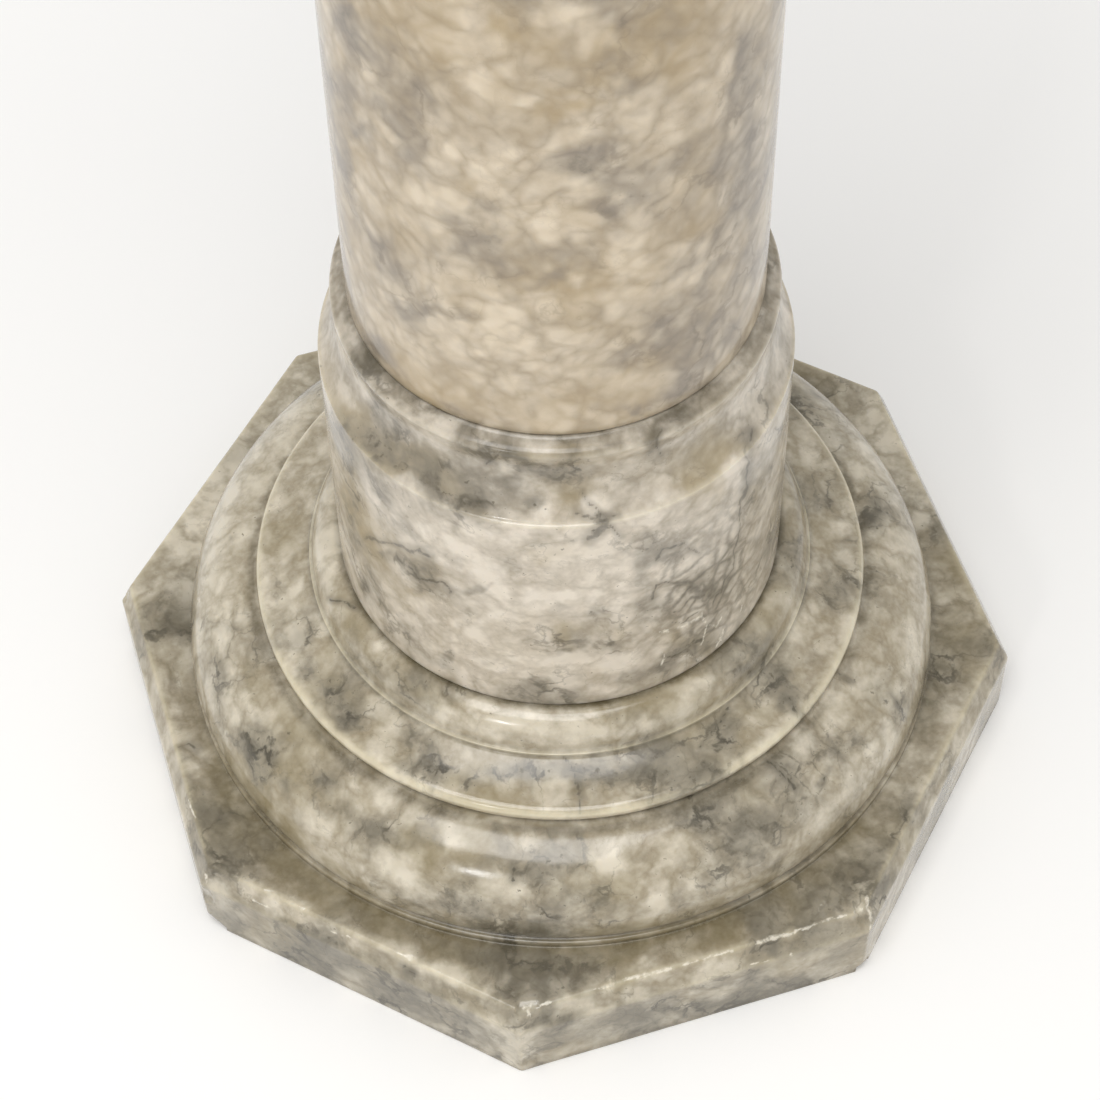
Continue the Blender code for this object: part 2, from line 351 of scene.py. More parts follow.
def markStone(piece, marks):
    points, normals = readMesh(piece.data)
    pixels, towards = onPhoto(points)
    facing = np.clip((normals * towards).sum(1) / marking["fadeFrom"], 0, 1)
    seen = facing * facing * (3 - 2 * facing)
    wide, close = ragged(pixels, seen, marking["cloudBends"]), ragged(pixels, seen, marking["veinBends"])
    tint = [spotField(wide, marks[kind]) * seen for kind in ("grey", "tan", "cream")]
    lines = [veinField(close, marks["veins"]) * seen, spotField(wide, marks["net"]) * seen, seen]
    scarsGlints = veinField(ragged(pixels, seen, marking["scarGlintBends"]), marks["scarsGlints"]) * seen
    for name, parts in (("tint", tint), ("lines", lines), ("bruisedGlints", [scarsGlints, scarsGlints, scarsGlints])):
        attribute = piece.data.attributes.new(name, "FLOAT_VECTOR", "POINT")
        attribute.data.foreach_set("vector", np.column_stack(parts).astype(np.float32).ravel())


def chipStone(piece, chips):
    # chips are (x, y, across in mm, depth in mm): a flat break where the photograph shows one
    points, normals = readMesh(piece.data)
    pixels, towards = onPhoto(points)
    ahead = (normals * towards).sum(1) > marking["chipFrom"]
    for x, y, across, depth in chips:
        gap = np.linalg.norm(pixels - (x, y), axis=1)
        middle = points[np.argmin(np.where(ahead, gap, np.inf))]
        near = np.linalg.norm(points - middle, axis=1) < across * mm / 2
        outward = normals[near].mean(0)
        outward /= np.linalg.norm(outward)
        bottom = (middle @ outward) - depth * mm
        proud = np.maximum(points[near] @ outward - bottom, 0)
        points[near] -= proud[:, None] * outward
    piece.data.vertices.foreach_set("co", points.astype(np.float32).ravel())
    piece.data.update()


# How the parts of the stone work on each other
recipe = {
    # what the cream and tan marks do
    "creamClears": -0.12, "creamCools": -0.2, "creamLifts": 0.45, "tanWarms": 0.28,
    "cellLeast": 0.4, "cellVaries": 0.6,  # lightness of a cell
    "veinInMurk": 0.9, "netWobble": 0.2, "netLine": 0.08, "veinWobble": 0.4,
    "lumpThins": 0.5, "swirlBreaks": -0.3,  # grey clouds
    # the corner darkening set here is partly dirt and partly painted shade
    "pitInMurk": 0.06, "soilShadeAlways": 0.7, "soilShadeOnPale": -0.8, "soilShadeOnTan": 1.2, "scarGlintWobble": 0.9,
    "dulled": 0.2, "patchyPolish": 0.12, "pitHeight": 0.15,  # mm
    "ior": 1.52, "glowTint": (1.0, 0.8, 0.55), "glowReach": 4,  # mm
}


# Alabaster, a soft, slightly see-through stone, polished by hand: round cream cells with hazy tan
# seams, tan clouds, and murky grey clouds in which fractured dark veins widen and thin out
def makeAlabaster(name, look):
    material = bpy.data.materials.new(name)
    material.use_nodes = True
    tree = material.node_tree
    shader = tree.nodes["Principled BSDF"]
    place = add(tree, "ShaderNodeTexCoord", out="Object")
    lean = [math.radians(a) for a in look["lean"]]
    block = add(tree, "ShaderNodeMapping", {},
                {"Vector": place, "Location": look["shift"], "Rotation": lean, "Scale": (1000,) * 3})
    marks = {}
    for attribute in ("tint", "lines", "wearShadeLight", "bruisedGlints"):
        parts = add(tree, "ShaderNodeAttribute", {"attribute_name": attribute}, {}, "Vector")
        marks[attribute] = add(tree, "ShaderNodeSeparateXYZ", {}, {0: parts}, None).outputs
    grey, tan, cream = marks["tint"]
    drawn, netted, seen = marks["lines"]
    grime, arris, _ = marks["wearShadeLight"]
    bruiseGlint = marks["bruisedGlints"]["X"]

    # the bedding is bent on a large and a small scale
    bent = [block]
    for size, amount, detail in look["bends"]:
        wave = add(tree, "ShaderNodeTexNoise", {},
                   {"Vector": block, "Scale": 1 / size, "Detail": detail, "Roughness": 0.6}, "Color")
        wave = add(tree, "ShaderNodeVectorMath", {"operation": "SUBTRACT"}, {0: wave, 1: (0.5, 0.5, 0.5)})
        wave = add(tree, "ShaderNodeVectorMath", {"operation": "SCALE"}, {0: wave, "Scale": amount})
        bent.append(add(tree, "ShaderNodeVectorMath", {"operation": "ADD"}, {0: bent[-1], 1: wave}))
    soft, bent = bent[1:]
    fine = add(tree, "ShaderNodeTexNoise", {},
               {"Vector": block, "Scale": 1 / look["grain"], "Detail": 3.0, "Roughness": 0.6}, "Fac")
    cloud = add(tree, "ShaderNodeTexNoise", {},
                {"Vector": soft, "Scale": 1 / look["cloud"], "Detail": 4.0, "Roughness": 0.5}, "Fac")
    apart = add(tree, "ShaderNodeVectorMath", {"operation": "ADD"}, {0: bent, 1: (137.0, 59.0, 211.0)})
    smoke = add(tree, "ShaderNodeTexNoise", {},
                {"Vector": apart, "Scale": 1 / look["smoke"], "Detail": 4.0, "Roughness": 0.52}, "Fac")
    swirl = add(tree, "ShaderNodeTexNoise", {},
                {"Vector": soft, "Scale": 1 / look["lump"], "Detail": look["crumb"],
                 "Roughness": 0.55}, "Fac")
    ridge = add(tree, "ShaderNodeTexNoise", {},
                {"Vector": bent, "Scale": 1 / look["vein"], "Detail": 5.0, "Roughness": 0.55}, "Fac")
    cells = add(tree, "ShaderNodeTexVoronoi", {"feature": "F1"},
                {"Vector": bent, "Scale": 1 / look["cell"]}, None).outputs
    edge = add(tree, "ShaderNodeTexVoronoi", {"feature": "DISTANCE_TO_EDGE"},
               {"Vector": bent, "Scale": 1 / look["cell"]}, "Distance")

    # how murky the stone is: grey clouds at random, and where the photograph shows them
    smoke = add(tree, "ShaderNodeMath", {"operation": "MULTIPLY_ADD"},
                {0: seen, 1: -look["quiet"], 2: smoke})
    smoke = add(tree, "ShaderNodeMath", {"operation": "MULTIPLY_ADD"},
                {0: grey, 1: look["greyMark"], 2: smoke})
    smoke = add(tree, "ShaderNodeMath", {"operation": "MULTIPLY_ADD"},
                {0: cream, 1: recipe["creamClears"], 2: smoke})
    murk = add(tree, "ShaderNodeMapRange", {"interpolation_type": "SMOOTHSTEP"},
               {"Value": smoke, "From Min": look["greyFrom"], "From Max": look["greyTo"]})
    warmth = add(tree, "ShaderNodeMath", {"operation": "MULTIPLY_ADD"},
                 {0: tan, 1: recipe["tanWarms"], 2: cloud})
    warmth = add(tree, "ShaderNodeMath", {"operation": "MULTIPLY_ADD"},
                 {0: cream, 1: recipe["creamCools"], 2: warmth})
    warm = add(tree, "ShaderNodeMapRange", {"interpolation_type": "SMOOTHSTEP"},
               {"Value": warmth, "From Min": look["tanFrom"], "From Max": look["tanTo"]})

    # the bedding is folded into lumps, with round cells in them, some lighter than others
    lump = add(tree, "ShaderNodeMath", {"operation": "SUBTRACT"}, {0: swirl, 1: 0.5})
    lump = add(tree, "ShaderNodeMath", {"operation": "ABSOLUTE"}, {0: lump})
    lump = add(tree, "ShaderNodeMapRange", {"interpolation_type": "SMOOTHSTEP"},
               {"Value": lump, "From Min": -0.06, "From Max": 0.18, "To Max": look["lumpDepth"]})
    random = add(tree, "ShaderNodeSeparateXYZ", {}, {0: cells["Color"]}, "X")
    swell = add(tree, "ShaderNodeMapRange", {"interpolation_type": "SMOOTHSTEP"},
                {"Value": cells["Distance"], "From Min": 0.8, "From Max": 0.1})
    tone = add(tree, "ShaderNodeMath", {"operation": "MULTIPLY_ADD"},
               {0: random, 1: recipe["cellVaries"], 2: recipe["cellLeast"]})
    tone = add(tree, "ShaderNodeMath", {"operation": "MULTIPLY"}, {0: tone, 1: swell})
    tone = add(tree, "ShaderNodeMath", {"operation": "MULTIPLY_ADD"},
               {0: tone, 1: look["cellDepth"], 2: lump})
    lift = add(tree, "ShaderNodeMath", {"operation": "MULTIPLY_ADD"},
               {0: cream, 1: recipe["creamLifts"], 2: tone})
    grain = add(tree, "ShaderNodeMath", {"operation": "MULTIPLY_ADD"},
                {0: fine, 1: look["grainDepth"], 2: -0.5 * look["grainDepth"]})
    lift = add(tree, "ShaderNodeMath", {"operation": "ADD", "use_clamp": True}, {0: grain, 1: lift})
    colour = add(tree, "ShaderNodeMix", {"data_type": "RGBA"},
                 {0: lift, 6: linear(look["pale"]), 7: linear(look["light"])}, 2)
    seam = add(tree, "ShaderNodeMapRange", {"interpolation_type": "SMOOTHSTEP"},
               {"Value": edge, "From Min": look["haze"], "From Max": 0.0})
    seam = add(tree, "ShaderNodeMath", {"operation": "MULTIPLY"}, {0: seam, 1: look["seam"]})
    warmed = add(tree, "ShaderNodeMath", {"operation": "MULTIPLY"}, {0: warm, 1: look["tanDepth"]})
    warmed = add(tree, "ShaderNodeMath", {"operation": "ADD", "use_clamp": True}, {0: warmed, 1: seam})
    colour = add(tree, "ShaderNodeMix", {"data_type": "RGBA"},
                 {0: warmed, 6: colour, 7: linear(look["tan"])}, 2)

    # veins run in the creases between lumps, wide and dark in the murk, faint outside it
    fold = add(tree, "ShaderNodeMath", {"operation": "SUBTRACT"}, {0: ridge, 1: 0.5})
    fold = add(tree, "ShaderNodeMath", {"operation": "ABSOLUTE"}, {0: fold})
    wide = add(tree, "ShaderNodeMath", {"operation": "MULTIPLY_ADD"},
               {0: murk, 1: look["veinSpread"], 2: look["veinWidth"]})
    fold = add(tree, "ShaderNodeMath", {"operation": "DIVIDE"}, {0: fold, 1: wide})
    fold = add(tree, "ShaderNodeMapRange", {"interpolation_type": "SMOOTHSTEP"},
               {"Value": fold, "From Min": 1.0, "From Max": 0.0})
    force = add(tree, "ShaderNodeMath", {"operation": "MULTIPLY_ADD"},
                {0: murk, 1: recipe["veinInMurk"], 2: look["veinAlways"]})
    fold = add(tree, "ShaderNodeMath", {"operation": "MULTIPLY"}, {0: fold, 1: force})
    broken = add(tree, "ShaderNodeMapRange", {"interpolation_type": "SMOOTHSTEP"},
                 {"Value": swirl, "From Min": 0.36, "From Max": 0.62, "To Min": 0.15})
    fold = add(tree, "ShaderNodeMath", {"operation": "MULTIPLY"}, {0: fold, 1: broken})

    # a net of thin lines round the cells
    net = add(tree, "ShaderNodeMath", {"operation": "MULTIPLY_ADD"},
              {0: fine, 1: recipe["netWobble"], 2: edge})
    netEdge = look["netWidth"] / look["cell"] + recipe["netLine"]
    net = add(tree, "ShaderNodeMapRange", {"interpolation_type": "SMOOTHSTEP"},
              {"Value": net, "From Min": netEdge, "From Max": recipe["netLine"]})
    shown = add(tree, "ShaderNodeMath", {"operation": "MULTIPLY_ADD"},
                {0: murk, 1: look["netInGrey"], 2: netted})
    net = add(tree, "ShaderNodeMath", {"operation": "MULTIPLY", "use_clamp": True}, {0: net, 1: shown})

    # veins that the photograph shows
    near = add(tree, "ShaderNodeMath", {"operation": "MULTIPLY_ADD"},
               {0: fine, 1: recipe["veinWobble"], 2: -0.5 * recipe["veinWobble"]})
    near = add(tree, "ShaderNodeMath", {"operation": "ADD"}, {0: drawn, 1: near})
    core = add(tree, "ShaderNodeMapRange", {"interpolation_type": "SMOOTHSTEP"},
               {"Value": near, "From Min": 0.68, "From Max": 0.98})
    halo = add(tree, "ShaderNodeMapRange", {"interpolation_type": "SMOOTHSTEP"},
               {"Value": near, "From Min": 0.1, "From Max": 0.95, "To Max": 0.45})
    placed = add(tree, "ShaderNodeMath", {"operation": "MAXIMUM"}, {0: core, 1: halo})

    thin = add(tree, "ShaderNodeMath", {"operation": "MULTIPLY_ADD"},
               {0: lift, 1: -recipe["lumpThins"] * look["greyDepth"], 2: look["greyDepth"]})
    haze = add(tree, "ShaderNodeMath", {"operation": "MULTIPLY"}, {0: murk, 1: thin})
    colour = add(tree, "ShaderNodeMix", {"data_type": "RGBA"},
                 {0: haze, 6: colour, 7: linear(look["grey"])}, 2)

    # the heart of a murky cloud is darker and broken up into specks
    speck = add(tree, "ShaderNodeMath", {"operation": "MULTIPLY_ADD"},
                {0: fine, 1: look["speckle"], 2: smoke})
    speck = add(tree, "ShaderNodeMath", {"operation": "MULTIPLY_ADD"},
                {0: swirl, 1: recipe["swirlBreaks"], 2: speck})
    heart = add(tree, "ShaderNodeMapRange", {"interpolation_type": "SMOOTHSTEP"},
                {"Value": speck, "From Min": look["heartFrom"], "From Max": look["heartTo"],
                 "To Max": look["heartDepth"]})
    colour = add(tree, "ShaderNodeMix", {"data_type": "RGBA"},
                 {0: heart, 6: colour, 7: linear(look["heart"])}, 2)
    veins = add(tree, "ShaderNodeMath", {"operation": "MAXIMUM"}, {0: fold, 1: net})
    veins = add(tree, "ShaderNodeMath", {"operation": "MAXIMUM"}, {0: veins, 1: placed})
    dark = add(tree, "ShaderNodeMath", {"operation": "MULTIPLY"}, {0: veins, 1: look["veinDepth"]})
    colour = add(tree, "ShaderNodeMix", {"data_type": "RGBA"},
                 {0: dark, 6: colour, 7: linear(look["veinTone"])}, 2)

    # pinholes, and darkening in the corners, joints and grooves of the mouldings: partly dirt and old wax,
    # partly painted shade
    pit = add(tree, "ShaderNodeMath", {"operation": "MULTIPLY_ADD"},
              {0: murk, 1: recipe["pitInMurk"], 2: fine})
    pit = add(tree, "ShaderNodeMapRange", {"interpolation_type": "SMOOTHSTEP"},
              {"Value": pit, "From Min": 0.68, "From Max": 0.76, "To Max": look["pitDepth"]})
    soilShade = add(tree, "ShaderNodeMath", {"operation": "MULTIPLY_ADD"},
               {0: lift, 1: recipe["soilShadeOnPale"], 2: recipe["soilShadeAlways"]})
    soilShade = add(tree, "ShaderNodeMath", {"operation": "MULTIPLY_ADD"},
               {0: warmth, 1: recipe["soilShadeOnTan"], 2: soilShade})
    soilShade = add(tree, "ShaderNodeMath", {"operation": "MULTIPLY", "use_clamp": True}, {0: soilShade, 1: grime})
    soilShadePits = add(tree, "ShaderNodeMath", {"operation": "MAXIMUM"}, {0: soilShade, 1: pit})
    colour = add(tree, "ShaderNodeMix", {"data_type": "RGBA"},
                 {0: soilShadePits, 6: colour, 7: linear(look["soilShadeTone"])}, 2)

    # rubbed arrises are paler, in broken lengths: partly real wear, partly a painted highlight along the
    # arris
    rubHighlight = add(tree, "ShaderNodeMapRange", {"interpolation_type": "SMOOTHSTEP"},
              {"Value": smoke, "From Min": 0.66, "From Max": 0.42, "To Min": 0.25})
    rubHighlight = add(tree, "ShaderNodeMath", {"operation": "MULTIPLY"}, {0: rubHighlight, 1: arris})
    rubHighlight = add(tree, "ShaderNodeMath", {"operation": "MULTIPLY"}, {0: rubHighlight, 1: look["rubHighlightDepth"]})
    colour = add(tree, "ShaderNodeMix", {"data_type": "RGBA"},
                 {0: rubHighlight, 6: colour, 7: linear(look["wornHighlight"])}, 2)

    # scratches and bruises have crushed the stone white, and dull; along the plinth's arrises these white
    # lines are partly bruising and partly a painted highlight
    scarGlint = add(tree, "ShaderNodeMath", {"operation": "MULTIPLY_ADD"},
               {0: fine, 1: recipe["scarGlintWobble"], 2: -0.5 * recipe["scarGlintWobble"]})
    scarGlint = add(tree, "ShaderNodeMath", {"operation": "ADD"}, {0: scarGlint, 1: bruiseGlint})
    scarGlint = add(tree, "ShaderNodeMapRange", {"interpolation_type": "SMOOTHSTEP"},
               {"Value": scarGlint, "From Min": 0.72, "From Max": 1.0, "To Max": look["scarGlintDepth"]})
    colour = add(tree, "ShaderNodeMix", {"data_type": "RGBA"},
                 {0: scarGlint, 6: colour, 7: linear(look["scarGlint"])}, 2)

    dull = add(tree, "ShaderNodeMath", {"operation": "MAXIMUM"}, {0: scarGlint, 1: soilShadePits})
    rough = add(tree, "ShaderNodeMath", {"operation": "MULTIPLY_ADD"},
                {0: dull, 1: recipe["dulled"], 2: look["polish"]})
    rough = add(tree, "ShaderNodeMath", {"operation": "MULTIPLY_ADD"},
                {0: fine, 1: recipe["patchyPolish"], 2: rough})
    bump = add(tree, "ShaderNodeBump", {"invert": True},
               {"Strength": look["bump"], "Distance": recipe["pitHeight"] * mm, "Height": fine})
    tree.links.new(colour, shader.inputs["Base Color"])
    tree.links.new(rough, shader.inputs["Roughness"])
    tree.links.new(bump, shader.inputs["Normal"])
    shader.inputs["IOR"].default_value = recipe["ior"]
    shader.inputs["Subsurface Weight"].default_value = look["glow"]
    shader.inputs["Subsurface Radius"].default_value = recipe["glowTint"]
    shader.inputs["Subsurface Scale"].default_value = recipe["glowReach"] * mm
    return material


alabaster = {
    "lean": (18, 25, 0), "shift": (310, 40, 75),  # how the stone lay in the quarry's bed, degrees and mm
    "bends": [(34, 14, 2.0), (6, 4, 3.0)],  # wave length and amount in mm, and detail
    "grain": 2.2, "crumb": 3.0, "cell": 9.0, "haze": 0.3, "cloud": 46, "smoke": 30, "vein": 20, "lump": 17,
    "light": "#e0d8ca", "pale": "#b0a697", "tan": "#a08e66", "grey": "#878072", "heart": "#585246",
    "veinTone": "#474236", "soilShadeTone": "#4f462f", "wornHighlight": "#e9e0ca", "scarGlint": "#ebe4d4",
    "lumpDepth": 0.75, "cellDepth": 0.4, "seam": 0.15, "tanFrom": 0.42, "tanTo": 0.74, "tanDepth": 0.65,
    "greyFrom": 0.39, "greyTo": 0.68, "greyDepth": 0.9, "greyMark": 0.22, "quiet": 0.03,
    "speckle": 0.4, "heartFrom": 0.7, "heartTo": 0.95, "heartDepth": 0.8,
    "veinWidth": 0.01, "veinSpread": 0.04, "veinAlways": 0.2, "netWidth": 0.9, "netInGrey": 0.3,
    "veinDepth": 0.8, "pitDepth": 0.7, "rubHighlightDepth": 0.9, "scarGlintDepth": 0.7, "grainDepth": 0.7,
    "polish": 0.08, "bump": 0.15, "glow": 0.25,
}
baseLook = dict(alabaster, shift=(120, 260, 15), light="#dad1be", pale="#9a8e77", tan="#8b7d58",
                grey="#7a7466", heart="#555043", wornHighlight="#e6dcbf", cell=11, crumb=3.6, tanDepth=0.5,
                cellDepth=0.15, lumpDepth=0.82, heartDepth=0.62, rubHighlightDepth=0.75, polish=0.1, bump=0.2)
collarLook = dict(alabaster, shift=(40, 410, 330), light="#e6dccc", pale="#b4a997", tanFrom=0.48,
                  tanTo=0.76, quiet=0.08, cell=10, cellDepth=0.25, lumpDepth=0.85, seam=0.05,
                  netWidth=2.2, netInGrey=0.12, veinSpread=0.05, veinDepth=0.7, rubHighlightDepth=0.7,
                  bends=[(34, 14, 2.0), (9, 3.4, 2.0)])
shaftLook = dict(alabaster, shift=(510, 90, 620), light="#e0d2bb", pale="#ab9d88", tan="#a68e62",
                 grey="#7d756c", veinTone="#6a5c4a", seam=0.15, veinDepth=0.4, bump=0.08, cell=8,
                 haze=0.35, netInGrey=0.1, grainDepth=0.35, pitDepth=0.1, cellDepth=0.5,
                 lumpDepth=0.65, lump=14, greyFrom=0.41, greyMark=0.29, greyDepth=0.75,
                 heartDepth=0.5, tanDepth=0.5, crumb=2.0, bends=[(34, 12, 2.0), (10, 4.0, 1.0)])


# The base, its turned mouldings carved in one with the octagonal plinth
base = {
    "columns": 640, "crowding": 1.4, "cornerWear": 0.0012, "cornerBlend": 0.0025,
    "unevenness": 0.25, "waveLength": 24,
    "step": 1.3,  # between rows of the mesh, mm
    "sideHeight": 29.0, "bevelIn": 4.0, "bevelRise": 8.7, "margin": 12.4, "plinthArris": 1.1,
    "footRise": 2.4, "footStep": 0.6, "lip": 3.9, "torus": 29.0, "setOut": 0.8, "quirk": 0.3, "nose": 3.3,
    "bandWidth": 15.9, "bandFall": 4.5, "bandSag": 0.5, "ledge": 1.1, "thinRise": 1.2,
    "rollWidth": 10.3, "rollRise": 12.2,
    "underEase": 0.7,  # of the plinth's arris, at the ground
    "footArris": 1.0, "ledgeArris": 0.4, "lipFrom": -80, "rollFrom": 4,  # degrees
    "closeRow": 0.25, "undercut": 0.1, "riseFrom": 0.15,  # rows at the foot fillet's corner
    "footRows": (0, 60, 110, 135, 145), "topRow": 4,
}
